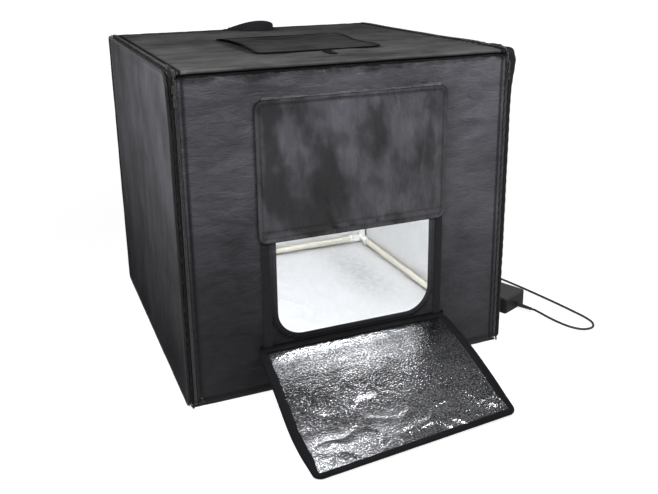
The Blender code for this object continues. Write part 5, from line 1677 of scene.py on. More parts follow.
@dataclass
class Roof:
    """The roof panel with its viewing hole, flap, tab, lining and handle."""

    hole_x: float = -5 * MM
    hole_y: float = -44 * MM
    hole: float = 170 * MM
    flap_width: float = 238 * MM
    flap_rear: float = 85 * MM
    flap_length: float = 257 * MM
    rear_end: float = 289 * MM
    bend: float = -285 * MM
    hole_radius: float = 16 * MM
    lining_z: float = 552.3 * MM
    hem_line: float = 7.5 * MM
    hem_radius: float = 14 * MM

    def lines(self) -> tuple[Profile, Profile]:
        """The roof's line from the back to just above the door: crisp in the middle, round at the zips."""
        start = [(self.rear_end, SIZES.height), (self.bend, SIZES.height)]
        front = ((290.5, 555.0), (296.2, 554.9), (299.0, 554.3), (300.6, 553.1), (300.9, 551.4),
                 (300.2, 549.6), (299.0, 548.2))
        crisp = Profile(start + [(-y * MM, z * MM) for y, z in front])
        centre, radius = SIZES.half - SIZES.nose, SIZES.nose
        soft = [(-centre - radius * math.sin(math.pi / 2 * i / 8),
                 SIZES.height - radius + radius * math.cos(math.pi / 2 * i / 8)) for i in range(9)]
        return crisp, Profile(start + soft[:-1] + [(-299.8 * MM, 546.6 * MM)])

    def surface(self) -> Callable[[float, float], Vector]:
        """The roof's surface over X and the distance from its rear end."""
        crisp, soft = self.lines()
        flat = self.rear_end - self.bend
        stretch = (soft.length - flat) / (crisp.length - flat)

        def point(x: float, distance: float) -> Vector:
            """A place of the roof."""
            share = ramp(abs(x), 262, 285)
            other = flat + (distance - flat) * stretch if distance > flat else distance
            return crisp.point(x, distance).lerp(soft.point(x, other), share)

        return point

    def hole_box(self, grow: float) -> Box:
        """The viewing hole's box in X and distance from the roof's rear end."""
        half = self.hole / 2 + grow
        middle = self.rear_end - self.hole_y
        return (self.hole_x - half, middle - half, self.hole_x + half, middle + half)

    def cloth(self, looks: Looks) -> None:
        """The roof panel: soft waves, creases near the front, and the zips' tapes along its sides."""
        length, surface = self.lines()[0].length, self.surface()
        hole = self.hole_box(0)

        def lift(x: float, distance: float) -> float:
            """The panel's soft shape."""
            edge = SIZES.lid_edge - abs(x)
            side = ramp(edge, 8, 60)
            rear, front = ramp(distance, 0, 50), 1 - smooth(distance, 0.55, 0.583)
            near_hole = ramp(-inside(x, distance, hole, self.hole_radius), 0, 40)
            broad = waves(1.5, x, distance, 210, 170, 51.0, 2)
            crease = 0.8 * MM * ridges(x, distance, 190, 38, 54.0)
            fine = waves(0.35, x, distance, 60, 16, 57.0, 3)
            wavy = 0.6 * MM * field(x, 0, 45, 1, 58.0, 2) * smooth(distance, 0.55, 0.585)
            seam = -0.8 * MM * hump(abs(x), SIZES.seam_x, 1.3 * MM)
            drawn = pucker(distance + 8 * MM, Side.LEFT if x < 0 else Side.RIGHT)
            drawn *= 1 - ramp(edge, 4, 26)
            drawn *= ramp(distance, 0, 30) * (1 - smooth(distance, 0.56, 0.585))
            soft = (broad * near_hole + crease + fine) * side * rear * front
            return soft + wavy + seam + max(drawn, -0.3 * MM)

        def dark(x: float, distance: float) -> float:
            """Painted shade down in the seams, at the lid's edge, round the flap and under the front edge;
            the band outside the seam is the darker, ribbed tape of its own.
            """
            under = smooth(distance, length - 5 * MM, length - 2 * MM)
            edge = SIZES.lid_edge - abs(x)
            # Painted shadow round the flap's outline.
            hem = 0.3 * hump(-inside(-x, distance, self.flap_box(), 3 * MM), 0, 6 * MM)
            ribs = 0.12 * math.sin(2 * math.pi * distance / (5 * MM)) + 0.1 * field(x, distance, 30, 6, 59.0)
            band = (0.62 + ribs) * smooth(abs(x), SIZES.seam_x - 1 * MM, SIZES.seam_x + 1 * MM) * (1 - under)
            seam_shade = 0.9 * hump(abs(x), SIZES.seam_x, 2.0 * MM)
            return seam_shade + under + 0.8 * (1 - ramp(edge, 0.5, 3)) + hem + band

        box = (-SIZES.lid_edge, 0, SIZES.lid_edge, length)
        outline = rounded(hole, (self.hole_radius,) * 4, 6)
        shape = flat_slab(rounded(box, (0.5 * MM,) * 4, 2), [outline], SIZES.cloth, 4 * MM)
        place = on_surface(lambda x, distance: surface(-x, distance), lambda x, distance: lift(-x, distance))
        made = finished("roof_cloth", bent(shape, place, dark), looks.roof)
        dressed(made, "roof", "black_coated_cloth", "roof_panel")

    def flap_box(self) -> Box:
        """The flap's box in X and distance from the roof's rear end."""
        half, rear = self.flap_width / 2, self.rear_end - self.flap_rear
        return (self.hole_x - half, rear, self.hole_x + half, rear + self.flap_length)

    def lining(self, looks: Looks) -> None:
        """The roof's silver lining, with its hole."""
        box = (-SIZES.lid_edge, -289.5 * MM, SIZES.lid_edge, 296.4 * MM)
        half = self.hole / 2 + 1 * MM
        hole = (self.hole_x - half, self.hole_y - half, self.hole_x + half, self.hole_y + half)

        def lift(x: float, y: float) -> float:
            """The foil's soft shape, hanging a little."""
            fade = ramp(inside(x, y, box, 4 * MM), 4, 50) * ramp(-inside(x, y, hole, 17 * MM), 0, 30)
            return fade * MM * (0.6 + 0.7 * field(x, y, 80, 80, 61.0, 3))

        shape = flat_slab(rounded(box, (2 * MM,) * 4, 3), [rounded(hole, (17 * MM,) * 4, 6)], SIZES.foil,
                          6 * MM)
        place = on_plane(Z * self.lining_z, X, -Y, -Z, lambda x, y: lift(x, -y))
        for vert in shape.verts:
            vert.co.y = -vert.co.y
        made = finished("roof_lining_foil", bent(shape, place), looks.lining, 80)
        dressed(made, "roof", "silver_foil", "roof_lining")

    def flap_point(self, x: float, distance: float) -> Vector:
        """The roof flap's upper face: its left side and front right corner are lifted."""
        share = distance / self.flap_length
        across = x / (self.flap_width / 2)
        left = max(0.0, -across - 0.35) / 0.65
        bump = 6 * MM * math.exp(-(((across - 0.8) / 0.34) ** 2) - ((share - 0.22) / 0.17) ** 2)
        inner = min(max(share, 0.0), 1.0)
        lift = 7 * MM * left * math.sin(math.pi * inner) + bump * min(1, inner / 0.13)
        return Vector((self.hole_x + x, self.flap_rear - distance, SIZES.height + 2.4 * MM + lift))

    def flap(self, looks: Looks) -> None:
        """The viewing flap, hemmed and wavy, with soft round front corners."""
        half = self.flap_width / 2
        box = (-half, 2 * MM, half, self.flap_length)

        def lift(x: float, distance: float) -> float:
            """The flap's soft shape: a hem round its free edges and waves between."""
            edge = min(inside(x, distance, box, self.hem_radius), half - abs(x))
            hem = 0.5 * MM * (1 - ramp(edge, 5, 7)) - 0.45 * MM * hump(edge, self.hem_line, 1.4 * MM)
            wave = waves(0.9, x, distance, 80, 60, 71.0, 3) * ramp(distance, 4, 40)
            curl = 1.6 * MM * hump(edge, 0, 9 * MM) * max(0.0, field(x, distance, 50, 45, 75.0, 1))
            return hem + max(wave, -0.6 * MM) + curl * ramp(distance, 10, 50)

        shape = flat_slab(rounded(box, (3 * MM, 3 * MM, 15 * MM, 15 * MM), 8), [], SIZES.cloth, 3.6 * MM)
        place = on_surface(lambda x, distance: self.flap_point(-x, distance),
                           lambda x, distance: lift(-x, distance))

        def dark(x: float, distance: float) -> float:
            """Darker than the roof all over, with painted shade at its edge, in its hem line and along its
            rear edge at the hinge.
            """
            edge = min(inside(x, distance, box, self.hem_radius), half - abs(x))
            rear = 0.5 * (1 - ramp(distance, 5, 12)) * (1 + field(x, 0, 9, 1, 76.0))
            return 0.42 + 0.5 * (1 - ramp(edge, 1, 6)) + 0.4 * hump(edge, self.hem_line, 1.6 * MM) + rear

        made = finished("roof_flap_cloth", bent(shape, place, dark), looks.roof)
        dressed(made, "roof_flap", "black_coated_cloth", "roof_flap")
        strip = Profile([(self.flap_rear + 9 * MM, SIZES.height + 0.9 * MM),
                         (self.flap_rear + 2 * MM, SIZES.height + 1.6 * MM),
                         (self.flap_rear - 2 * MM, SIZES.height + 3.1 * MM),
                         (self.flap_rear - 8 * MM, SIZES.height + 3.5 * MM)])
        # The hinge strip is the near-black cloth: painted shade along the flap's rear edge.
        hinge_cloth("roof_flap_hinge_cloth", strip, half - 2 * MM, "roof", "roof_flap", self.hole_x,
                    looks.seam)
        self.hem_stitches(box, looks)

    def hem_stitches(self, box: Sequence[float], looks: Looks) -> None:
        """The stitches round the flap's hem."""
        left, _, right, front = grown(box, -self.hem_line)
        corners = rounded((left, self.hem_radius, right, front), (1 * MM, 1 * MM, 9 * MM, 9 * MM), 5)
        route = (corners[6:] + corners[:6])[5:-5]
        run = [(self.flap_point(x, distance) + Z * 0.25 * MM, Z) for x, distance in dense(route, 6 * MM)]
        made = STITCH.along("roof_flap_stitches", [run], looks.thread)
        dressed(made, "roof_flap", "black_coated_cloth")

    def tab(self, looks: Looks) -> None:
        """The short strap in front of the flap, sewn down at its front end."""
        box = (-10 * MM, -226 * MM, 4 * MM, -186 * MM)

        def lift(x: float, y: float) -> float:
            """The strap's soft shape, with its free end a little up."""
            return 1.2 * MM * ramp(y, -212, -186) + waves(0.15, x, y, 9, 12, 91.0, 2)

        shape = box_slab(box, 3 * MM, 5, 1.3 * MM, 1.6 * MM)
        made = finished("roof_tab", bent(shape, on_plane(Z * (SIZES.height + 1.9 * MM), X, Y, Z, lift)),
                        looks.tab)
        dressed(made, "roof", "black_webbing", "roof_flap_tab")

    def handle(self, looks: Looks) -> None:
        """The carrying handle: a strap loop that lies forward, sewn down by its two ends."""
        centre, axis_y, half, reach = 6 * MM, 284 * MM, 49 * MM, 70 * MM
        foot, steps = SIZES.height + 0.6 * MM, 60
        thick, stations = 1.25 * MM, []
        for step in range(steps + 1):
            angle = math.pi * step / steps
            along = Vector((-half * math.sin(angle), -reach * math.cos(angle), 0)).normalized()
            wide = 4.6 * MM + 18.4 * MM * math.sin(angle) ** 1.4
            sag = 0.7 * MM * field(angle, 0, 500, 1, 95.0, 2)
            x, y = centre + half * math.cos(angle), axis_y - reach * math.sin(angle)
            place = Vector((x, y, foot + wide / 2))
            stations.append((place + along.cross(Z) * sag, along.cross(Z), Z * wide))
        outline = [(share * thick, o) for share, o in
                   ((-1, -0.42), (-0.7, -0.49), (0, -0.5), (0.7, -0.49), (1, -0.42), (0.9, 0),
                    (1, 0.42), (0.7, 0.49), (0, 0.5), (-0.7, 0.49), (-1, 0.42), (-0.9, 0))]
        made = finished("handle_strap", swept(outline, stations), looks.webbing, 50)
        dressed(made, "handle", "black_webbing", "carry_handle")
        for side in Side:
            x = centre + side.value * half
            box = (x - 9 * MM, 276.5 * MM, x + 9 * MM, 295 * MM)

            def lift(a: float, b: float) -> float:
                """The patch's soft shape."""
                return waves(0.2, a, b, 8, 8, 97.0, 2)

            patch = bent(box_slab(box, 2 * MM, 4, 1.0 * MM, 2 * MM),
                         on_plane(Z * (SIZES.height + 1.6 * MM), X, Y, Z, lift))
            made = finished(f"handle_patch_{side.word}", patch, looks.tab)
            dressed(made, "roof", "black_webbing")
            left, low, right, top = grown(box, -2 * MM)
            inner = [Vector((a, b, SIZES.height + 1.8 * MM)) for a, b in
                     ((left, low), (right, low), (right, top), (left, top))]
            runs = [line_run([*inner, inner[0]], Z), line_run([inner[0], inner[2]], Z),
                    line_run([inner[1], inner[3]], Z)]
            dressed(STITCH.along(f"handle_patch_stitches_{side.word}", runs, looks.thread), "roof",
                    "black_webbing")

    def rear_seam(self, looks: Looks) -> None:
        """The cloth that runs from the rear panel over the edge on to the roof."""
        half, height = SIZES.half, SIZES.height
        points = [(half + 0.5 * MM, 538 * MM)]
        for step in range(9):
            angle = math.pi / 2 * step / 8
            over, up = 7 * MM * math.cos(angle), 7 * MM * math.sin(angle)
            points.append((half - 6.5 * MM + over, height - 6.3 * MM + up))
        points.append((280 * MM, height + 0.7 * MM))
        line = Profile([(y, z) for y, z in points])
        hinge_cloth("rear_edge_cloth", line, SIZES.lid_edge - 1 * MM, "root", "roof", 0, looks.roof)

    def front_seam(self, looks: Looks) -> None:
        """The sunk seam between the roof and the door: a near-black strip, painted shade under the roof's
        front edge.
        """
        line = Profile(in_mm([(-297.4, 537.5), (-298.2, 541), (-298.4, 545), (-297.8, 550)]))
        back = Profile([(y, z) for y, z in reversed(line.points)])
        hinge_cloth("front_edge_seam", back, SIZES.lid_edge - 1 * MM, "roof", "door", 0, looks.seam)

    def build(self, looks: Looks) -> None:
        """Make the roof's pieces."""
        self.cloth(looks)
        self.lining(looks)
        self.flap(looks)
        self.tab(looks)
        self.handle(looks)
        self.rear_seam(looks)
        self.front_seam(looks)


# The door


@dataclass
class Door:
    """The front door with its window, hems, loop strips, lining and upper flap."""

    window: Box = (-142 * MM, 98 * MM, 142 * MM, 462 * MM)
    window_corner: float = 45 * MM
    top: float = 543.5 * MM
    ground: float = 1.5 * MM
    lining_foot: float = 3.4 * MM
    lining_top: float = 532 * MM
    window_hem: float = 7 * MM
    flap_box: Box = (-171 * MM, 268 * MM, 171 * MM, 503 * MM)
    flap_y: float = -303.3 * MM
    flap_corner: float = 14 * MM
    flap_rim: float = 7 * MM
    flap_hem: float = 287 * MM
    folds: Folds = (
        (-0.272, 0.312, -0.194, 0.271, 0.007, 0.0022), (-0.235, 0.210, -0.199, 0.145, 0.005, 0.002),
        (-0.280, 0.192, -0.250, 0.125, 0.004, -0.0012), (-0.257, 0.435, -0.194, 0.444, 0.004, 0.0014),
        (0.199, 0.439, 0.262, 0.437, 0.004, 0.0022), (0.20, 0.395, 0.25, 0.41, 0.005, 0.0012),
        (-0.25, 0.50, -0.18, 0.515, 0.006, 0.0014), (0.19, 0.25, 0.25, 0.21, 0.006, 0.0014))
    flap_folds: Folds = (
        (-0.120, 0.488, -0.093, 0.400, 0.010, 0.0026), (-0.100, 0.47, -0.075, 0.38, 0.008, -0.0016),
        (-0.028, 0.490, -0.018, 0.430, 0.012, 0.0024), (0.020, 0.49, 0.010, 0.42, 0.014, 0.0018),
        (0.080, 0.487, 0.070, 0.400, 0.012, 0.0026), (0.125, 0.47, 0.115, 0.34, 0.009, 0.0032),
        (0.100, 0.42, 0.090, 0.31, 0.012, -0.0022), (0.142, 0.45, 0.148, 0.30, 0.007, 0.003),
        (-0.056, 0.33, -0.030, 0.27, 0.007, 0.0028), (-0.020, 0.33, 0.0, 0.27, 0.008, 0.0022),
        (0.030, 0.32, 0.045, 0.275, 0.008, 0.002), (0.080, 0.33, 0.085, 0.28, 0.009, 0.0026),
        (-0.150, 0.46, -0.155, 0.35, 0.006, 0.0014))

    def outline(self, low: float, high: float, draw_in: float = 0) -> Outline:
        """The door's outline: rounded bottom corners between the ends of its zip tapes."""
        edge, ground = SIZES.lid_edge - draw_in, SIZES.zip_foot
        middle = SIZES.seam_x
        bottom = rounded((-middle, low, middle, high), (20 * MM, 20 * MM, 0, 0), 8)[:18]
        return [(-edge, high), (-edge, ground), (-middle, ground), *bottom, (middle, ground), (edge, ground),
                (edge, high)]

    def lift(self, x: float, z: float) -> float:
        """The door cloth's soft shape."""
        edge = SIZES.lid_edge - abs(x)
        around = -inside(x, z, self.window, self.window_corner)
        side = ramp(edge, 10, 60)
        quiet = side * ramp(z, 0, 50) * ramp(around, 8, 45)
        broad = waves(1.5, x, z, 150, 110, 101.0, 2)
        crease = 0.75 * MM * ridges(x, z, 120, 40, 104.0)
        fine = waves(0.3, x, z, 34, 12, 107.0, 3)
        seam = -0.8 * MM * hump(abs(x), SIZES.seam_x, 1.3 * MM)
        band = 0.7 * MM * (1 - ramp(around, 8.5, 10)) - 0.5 * MM * hump(around, 10.5 * MM, 1.3 * MM)
        hem = 0.4 * MM * (1 - ramp(z, 9, 11)) - 0.4 * MM * hump(z, 11.5 * MM, 1.3 * MM)
        below = self.top - z
        brow = 2.3 * MM * ramp(below, -1, 3) * (1 - ramp(below, 4, 70)) * ramp(edge, 4, 25)
        brow *= 0.8 + 0.6 * field(x, z, 40, 30, 109.0, 3)
        sunk = -0.8 * MM * (1 - ramp(below, 0, 2.5))
        drawn = pucker(SIZES.height + 38 * MM + below, Side.LEFT if x < 0 else Side.RIGHT)
        drawn *= 1 - ramp(edge, 3, 16)
        drawn *= ramp(below, 0, 30) * ramp(z, 8, 40)
        total = (broad + crease + fine) * quiet + seam + band + hem + brow + sunk + max(drawn, -0.3 * MM)
        return total + sum(stroke(x, z, fold) for fold in self.folds) * side

    def cloth(self, looks: Looks) -> None:
        """The door panel."""
        hole = rounded(self.window, (self.window_corner,) * 4, 14)
        shape = flat_slab(self.outline(self.ground, self.top), [hole], SIZES.cloth, 4.5 * MM)
        flat = on_plane(-Y * SIZES.half, X, Z, -Y, self.lift)

        def place(x: float, z: float, level: float) -> Vector:
            """A point of the cloth, with a ragged top edge."""
            ragged = 2.4 * MM * field(x, 0, 22, 1, 112.0, 3) * smooth(z, 500 * MM, self.top)
            return flat(x, z, level) + Z * min(ragged, 2.5 * MM)

        made = finished("door_cloth", bent(shape, place, self.dark), looks.front)
        dressed(made, "door", "black_coated_cloth", "door_panel")

    def dark(self, x: float, z: float) -> float:
        """Painted shade: down in the seams, in the groove round the window, in the lower hem, towards the
        lower left and under the roof's front edge; slightly darker over the area round the window between the
        flaps.
        """
        edge = SIZES.lid_edge - abs(x)
        around = -inside(x, z, self.window, self.window_corner)
        seam = 0.9 * hump(abs(x), SIZES.seam_x, 2.2 * MM) + 0.8 * (1 - ramp(edge, 0.5, 2.5))
        rim = 0.7 * hump(around, 10 * MM, 1.8 * MM)
        window_area = 0.1 * ramp(inside(x, z, (-172 * MM, 74 * MM, 172 * MM, 505 * MM), 6 * MM), -2, 2)
        # Painted shade in the lower hem's groove, and a painted darkening towards the lower left.
        hem = 0.6 * hump(z, 11.5 * MM, 2 * MM) + 0.78 * (1 - ramp(z + 0.3 * x, -20, 360))
        ragged = MM * (1 + 1.6 * max(-1.0, min(1.0, 2 * field(x, 0, 48, 1, 118.0, 3))))
        # Painted shadow under the roof's front edge, with a ragged lower edge.
        under = 0.82 * (1 - smooth(self.top - z, 1.5 * ragged, 3 * ragged + 6 * MM))
        return seam + rim + window_area + hem + under

    def lining(self, looks: Looks) -> None:
        """The door's silver lining."""
        box = (-SIZES.lid_edge, self.lining_foot, SIZES.lid_edge, self.lining_top)
        hole = rounded(grown(self.window, 1 * MM), (self.window_corner,) * 4, 14)

        def lift(x: float, z: float) -> float:
            """The foil's soft shape."""
            around = -inside(x, z, self.window, self.window_corner)
            fade = ramp(inside(x, z, box, 4 * MM), 4, 40) * ramp(around, 2, 30)
            return fade * MM * (0.8 + 0.8 * field(x, z, 70, 70, 121.0, 3))

        shape = flat_slab(self.outline(self.lining_foot, self.lining_top, 0.5 * MM), [hole], SIZES.foil,
                          6 * MM)
        for vert in shape.verts:
            vert.co.x = -vert.co.x
        place = on_plane(Y * -297.3 * MM, -X, Z, Y, lambda x, z: lift(-x, z))
        made = finished("door_lining_foil", bent(shape, place), looks.lining, 80)
        dressed(made, "door", "silver_foil", "door_lining")

    def strips(self, looks: Looks) -> None:
        """The loop strips beside the window."""
        for side in Side:
            middle = side.value * 161 * MM
            box = (middle - 7.5 * MM, 84 * MM, middle + 7.5 * MM, 486 * MM)

            def lift(x: float, z: float) -> float:
                """The strip's soft pile, thicker along its middle."""
                pile = waves(0.25, x, z, 4, 4, 131.0, 2)
                return pile + 0.4 * MM * ramp(inside(x, z, box, 2 * MM), 0, 2) + 0.4 * self.lift(x, z)

            shape = box_slab(box, 1.5 * MM, 3, 1.0 * MM, 2.5 * MM)
            place = on_plane(-Y * (SIZES.half + 0.9 * MM), X, Z, -Y, lift)
            made = finished(f"loop_strip_{side.word}", bent(shape, place), looks.pile)
            dressed(made, "door", "loop_tape", f"window_loop_strip_{side.word}")

    def flap_lift(self, x: float, z: float) -> float:
        """The upper flap's soft shape: a rounded hem, and folds that hang from its top."""
        edge = inside(x, z, self.flap_box, self.flap_corner)
        rim = 0.55 * MM * ramp(edge, 0, 1.6) * (1 - ramp(edge, 5.2, 6.6))
        rim -= 0.6 * MM * hump(edge, self.flap_rim, 1.4 * MM)
        inner = ramp(edge, 7, 40)
        right = ramp(x, -60, 120)
        hang = field(x, z, 46, 190, 141.0, 2) * (0.6 + 1.1 * right)
        soft = field(x, z, 120, 90, 144.0, 2)
        hem = -0.45 * MM * hump(z, self.flap_hem, 1.3 * MM) * inner
        folded = sum(stroke(x, z, fold) for fold in self.flap_folds) * ramp(edge, 6, 16)
        swell = inner * (1.6 * MM + 1.3 * MM * hang + 1.3 * MM * soft)
        return rim + swell + hem + max(1.5 * folded, -1.6 * MM)

    def upper_flap(self, looks: Looks) -> None:
        """The upper flap, closed over the window's upper part."""
        shape = box_slab(self.flap_box, self.flap_corner, 8, 1.6 * MM, 3 * MM)
        place = on_plane(Y * self.flap_y, X, Z, -Y, self.flap_lift)

        def dark(x: float, z: float) -> float:
            """Painted shade towards the lower left and painted patches of sheen and shade, with painted shade
            in the stitched line inside the rim, in the hem line and at the very edge.
            """
            edge = inside(x, z, self.flap_box, self.flap_corner)
            low = 1.0 * (1 - ramp(x + 0.5 * z, 10, 230)) * ramp(edge, 4, 20)
            patches = 1.15 * field(x + 0.2 * z, z, 52, 90, 147.0, 4)
            toned = min(0.74, max(0.0, 0.1 + low + patches))
            seam_shade = 0.75 * hump(edge, self.flap_rim, 1.6 * MM)
            return toned + seam_shade + 0.8 * (1 - ramp(edge, 0.5, 2.2)) + 0.5 * hump(z, self.flap_hem, 1.5 * MM)

        made = finished("upper_flap_cloth", bent(shape, place, dark), looks.flap)
        dressed(made, "upper_flap", "black_coated_cloth", "upper_flap")
        strip = Profile(in_mm([(-300.9, 511), (-301.4, 506), (-303.2, 501.5), (-303.9, 497)]))
        hinge_cloth("upper_flap_hinge_cloth", strip, 158 * MM, "door", "upper_flap", 0, looks.front)
        corners = rounded(grown(self.flap_box, -self.flap_rim), (8 * MM,) * 4, 5)
        outer = line_run([self.on_flap(x, z) for x, z in [*corners, corners[0]]], -Y)
        hem = [(self.on_flap(x * MM, self.flap_hem), -Y) for x in range(-160, 161, 5)]
        dressed(STITCH.along("upper_flap_stitches", [outer, hem], looks.thread), "upper_flap",
                "black_coated_cloth")

    def seam_stitches(self, looks: Looks) -> None:
        """Stitches down the tapes' seams, round the window and along the lower hem."""
        runs = []
        for side in Side:
            x = side.value * (SIZES.seam_x - 2 * MM)
            runs.append([(self.on_cloth(x, z * MM), -Y) for z in range(26, 531, 6)])
        hem = rounded(grown(self.window, self.window_hem), (self.window_corner + self.window_hem,) * 4, 10)
        runs.append([(self.on_cloth(a, b), -Y) for a, b in dense(hem + hem[:1], 6 * MM)])
        runs.append([(self.on_cloth(x * MM, 9 * MM), -Y) for x in range(-252, 253, 6)])
        dressed(STITCH.along("door_stitches", runs, looks.thread), "door", "black_coated_cloth")

    def on_flap(self, x: float, z: float) -> Vector:
        """A place just above the upper flap's cloth."""
        return Vector((x, self.flap_y - self.flap_lift(x, z) - 0.1 * MM, z))

    def on_cloth(self, x: float, z: float) -> Vector:
        """A place just above the door's cloth."""
        return Vector((x, -SIZES.half - self.lift(x, z) - 0.12 * MM, z))

    def build(self, looks: Looks) -> None:
        """Make the door's pieces."""
        self.cloth(looks)
        self.lining(looks)
        self.strips(looks)
        self.upper_flap(looks)
        self.seam_stitches(looks)


# The lower flap


@dataclass
class LowerFlap:
    """The lower flap, folded out over the ground: silver facing, cloth backing and thick binding."""

    width: float = 360 * MM
    reach: float = 258 * MM
    hinge: float = 76 * MM
    hinge_y: float = -301 * MM
    binding_width: float = 11 * MM
    inset: float = 8 * MM
    stitch_in: float = 3.1 * MM
    stitch_line: float = 4.3 * MM
    left_out: tuple[float, ...] = (0, 0.15, 0.30, 0.56, 0.74, 0.88, 1)
    left_height: tuple[float, ...] = (1, 0.83, 0.62, 0.20, 0.075, 0.066, 0.07)
    right_out: tuple[float, ...] = (0, 0.13, 0.24, 0.42, 0.63, 0.80, 0.89)
    right_height: tuple[float, ...] = (1, 0.93, 0.855, 0.69, 0.44, 0.20, 0.08)
    folds: Folds = (
        (-0.045, 0.262, -0.058, 0.225, 0.005, 0.0022), (-0.030, 0.262, -0.026, 0.225, 0.004, 0.002),
        (-0.02, 0.212, 0.045, 0.205, 0.006, 0.0018), (0.045, 0.205, 0.072, 0.245, 0.006, 0.0018),
        (0.055, 0.2, 0.1, 0.24, 0.005, 0.0015), (-0.055, 0.13, -0.02, 0.135, 0.008, 0.0014),
        (-0.06, 0.17, -0.05, 0.13, 0.007, 0.001), (-0.13, 0.19, -0.10, 0.225, 0.004, 0.0012))

    def __post_init__(self) -> None:
        """Draw both sides' profiles once."""
        self.left = self.profile(self.left_out, self.left_height)
        self.right = self.profile(self.right_out, self.right_height)
        self.length = min(self.left.length, self.right.length)

    def profile(self, outs: Sequence[float], heights: Sequence[float]) -> Profile:
        """A side's smooth profile of (out, height)."""
        last = len(outs) - 1
        points = []
        for step in range(last * CURVE_STEPS + 1):
            i = min(step // CURVE_STEPS, last - 1)
            out, height = (on_curve(values, i, step / CURVE_STEPS - i) for values in (outs, heights))
            points.append((self.reach * out, self.hinge * height))
        return Profile(points)

    def point(self, x: float, share: float) -> Vector:
        """The flap's upper face at an X and a share of its length."""
        right = min(max(x / self.width + 0.5, 0), 1)
        left, far = self.left.at(share * self.left.length), self.right.at(share * self.right.length)
        out, height = left + (far - left) * right
        return Vector((x, self.hinge_y - out, height))

    def crumple(self, x: float, distance: float) -> float:
        """The foil's creases: flatter near the hinge, strong near the free edge."""
        half = self.width / 2 - self.binding_width
        edge = min(half - abs(x), self.length - self.binding_width - distance)
        fade = ramp(edge, 0, 22) * ramp(distance, 4, 30)
        low = ramp(distance, 90, 200)
        broad = waves(0.9, x, distance, 90, 70, 151.0, 2)
        creases = (0.2 + 0.9 * low) * MM * ridges(x, distance, 60, 45, 154.0)
        small = (0.15 + 0.25 * low) * MM * field(x, distance, 18, 16, 157.0, 3)
        pinch = sum(stroke(x, distance, line) for line in self.folds)
        return (broad + creases + small) * fade + pinch * ramp(edge, -4, 6)

    def layer(self, depth: float, follow: float) -> Place:
        """The place of a layer that lies under the flap's upper face."""

        def lift(x: float, distance: float) -> float:
            """The layer's height over the face."""
            return self.crumple(x, distance) * follow - depth

        return on_surface(lambda x, distance: self.point(-x, distance / self.length),
                          lambda x, distance: lift(-x, distance))

    def build(self, looks: Looks) -> None:
        """Make the flap's pieces."""
        half = self.width / 2 - self.inset
        end = self.length - self.inset
        sheet = (-half, 0.3 * MM, half, end)
        shape = box_slab(sheet, 1 * MM, 2, SIZES.foil, 2.2 * MM)

        def dark(x: float, distance: float) -> float:
            """Painted shade that dims the foil's reflection from a little past the hinge to its middle, and
            over both sides, more on one than the other, with a random spread.
            """
            toned = 0.12 * field(x, distance, 70, 30, 159.0, 3)
            left, right = ramp(x, 40, 150), 1 - ramp(x, -150, -40)
            near = ramp(distance, 12, 30) * (1 - ramp(distance + 0.1 * x, 75, 155))
            return (0.7 + toned) * near * (1 - 0.55 * right) + 0.12 * left + 0.25 * right

        facing = finished("lower_flap_foil", bent(shape, self.layer(-0.2 * MM, 1.0), dark), looks.facing, 85)
        dressed(facing, "lower_flap", "silver_foil", "lower_flap_facing")
        shape = box_slab(sheet, 1 * MM, 2, 1.2 * MM, 5 * MM)
        backing = finished("lower_flap_backing", bent(shape, self.layer(1.7 * MM, 0.4)), looks.front, 60)
        dressed(backing, "lower_flap", "black_coated_cloth", "lower_flap_cloth")
        self.binding(looks)
        line = Profile(in_mm([(-300.9, 86), (-301.3, 80), (-302.6, 76.8), (-307, 75.6)]))
        # The hinge strip is the near-black cloth: painted shade between the window and the flap.
        hinge_cloth("lower_flap_hinge_cloth", line, 176 * MM, "door", "lower_flap", 0, looks.seam)

    def route(self) -> list[tuple[float, float]]:
        """The binding's middle line as X and share of the flap's length."""
        centre, corner = self.width / 2 - self.binding_width / 2, 13 * MM - self.binding_width / 2
        near, far = 3 * MM / self.length, 1 - self.binding_width / 2 / self.length
        turn = corner / self.length
        side = [(-centre, near + (far - turn - near) * i / 60) for i in range(60)]
        side += [(-centre + corner * (1 - math.cos(math.pi / 2 * i / 8)),
                  far - turn * (1 - math.sin(math.pi / 2 * i / 8))) for i in range(9)]
        edge = centre - corner
        straight = [(-edge + 2 * edge * i / 70, far) for i in range(1, 70)]
        return side + straight + [(-x, share) for x, share in reversed(side)]

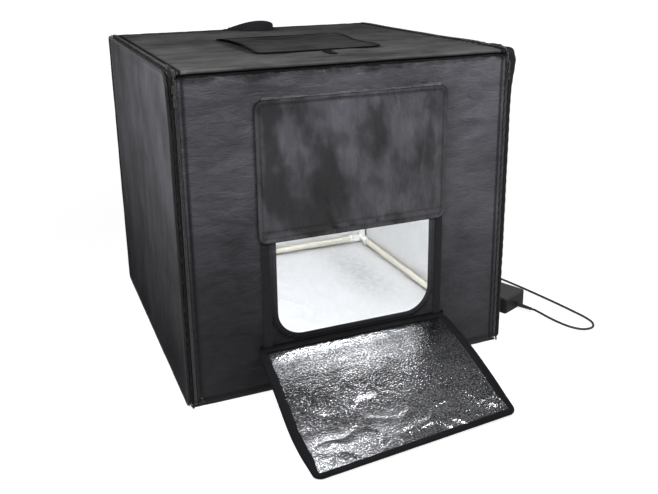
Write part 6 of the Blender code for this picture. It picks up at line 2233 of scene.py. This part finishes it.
    def binding(self, looks: Looks) -> None:
        """The padded binding round the three free edges, with its stitches."""
        place = on_surface(lambda x, distance: self.point(-x, distance / self.length), lambda *at: 0.0)
        centre, stations, marks = [], [], []
        for x, share in self.route():
            at = place(-x, share * self.length, 0)
            raised = place(-x, share * self.length, 1 * MM)
            centre.append((at, (raised - at).normalized()))
        last = len(centre) - 1
        shares = [share for _, share in self.route()]
        flip = -1 if (centre[1][0] - centre[0][0]).cross(centre[0][1]).x > 0 else 1
        for i, (at, out) in enumerate(centre):
            along = (centre[min(i + 1, last)][0] - centre[max(i - 1, 0)][0]).normalized()
            wide = 1 + 0.45 * (1 - smooth(shares[i], 0.82, 0.93))
            across = along.cross(out).normalized() * wide
            at = at - across * flip * (1 - 1 / wide) * self.binding_width / 2
            walked = i * 4.5 * MM
            swell = 0.25 * MM * field(walked, 0, 22, 1, 161.0, 2)
            stations.append((at + out * swell, across, out))
            marks.append((at + out * (0.95 * MM + swell) - across * self.stitch_line, out))
        half = self.binding_width / 2
        outline = [(-half + 0.2 * MM, 0.2 * MM), (-half + 1.2 * MM, 0.75 * MM), (-half + 2.6 * MM, 0.8 * MM),
                   (0, 1.1 * MM), (half - 3.4 * MM, 1.35 * MM), (half - 1.6 * MM, 1.0 * MM),
                   (half - 0.5 * MM, 0.1 * MM), (half, -1.4 * MM), (half - 0.5 * MM, -2.7 * MM),
                   (half - 1.8 * MM, -3.6 * MM), (0, -3.8 * MM), (-half + 1.2 * MM, -3.7 * MM),
                   (-half + 0.2 * MM, -3.0 * MM)]
        outline = [(a * flip, o) for a, o in outline]
        made = finished("lower_flap_edge", swept(outline, stations), looks.edge, 60)
        dressed(made, "lower_flap", "black_binding", "lower_flap_binding")
        marks = [(at + stations[i][1] * (self.stitch_line - self.stitch_in * flip), out)
                 for i, (at, out) in enumerate(marks)]
        dressed(STITCH.along("lower_flap_stitches", [marks], looks.thread), "lower_flap", "black_binding")


# The light bars


@dataclass
class LightBars:
    """Two light bars that hang on the top side rails; their parts keep their shape."""

    def build(self, looks: Looks) -> None:
        """Dress the bars' nodes."""
        for end in ("front", "rear"):
            for kind, look, slot in (("housing", looks.housing, "bar_housing"),
                                     ("board", looks.board, "circuit_board"),
                                     ("diffuser", looks.frosted, "frosted_cover")):
                node = f"light_bar_{end}_{kind}"
                paint(node, look)


def main() -> None:
    """Build the studio and every sub-assembly."""
    logging.basicConfig(level=logging.INFO, format="%(name)s: %(message)s")
    looks = Looks()
    Studio().build()
    Lead().build(looks)
    Adapter().build(looks)
    TubeFrame().build(looks)
    Zips().build(looks)
    Tub().build(looks)
    Roof().build(looks)
    Door().build(looks)
    LowerFlap().build(looks)
    LightBars().build(looks)


if __name__ == "__main__":
    main()
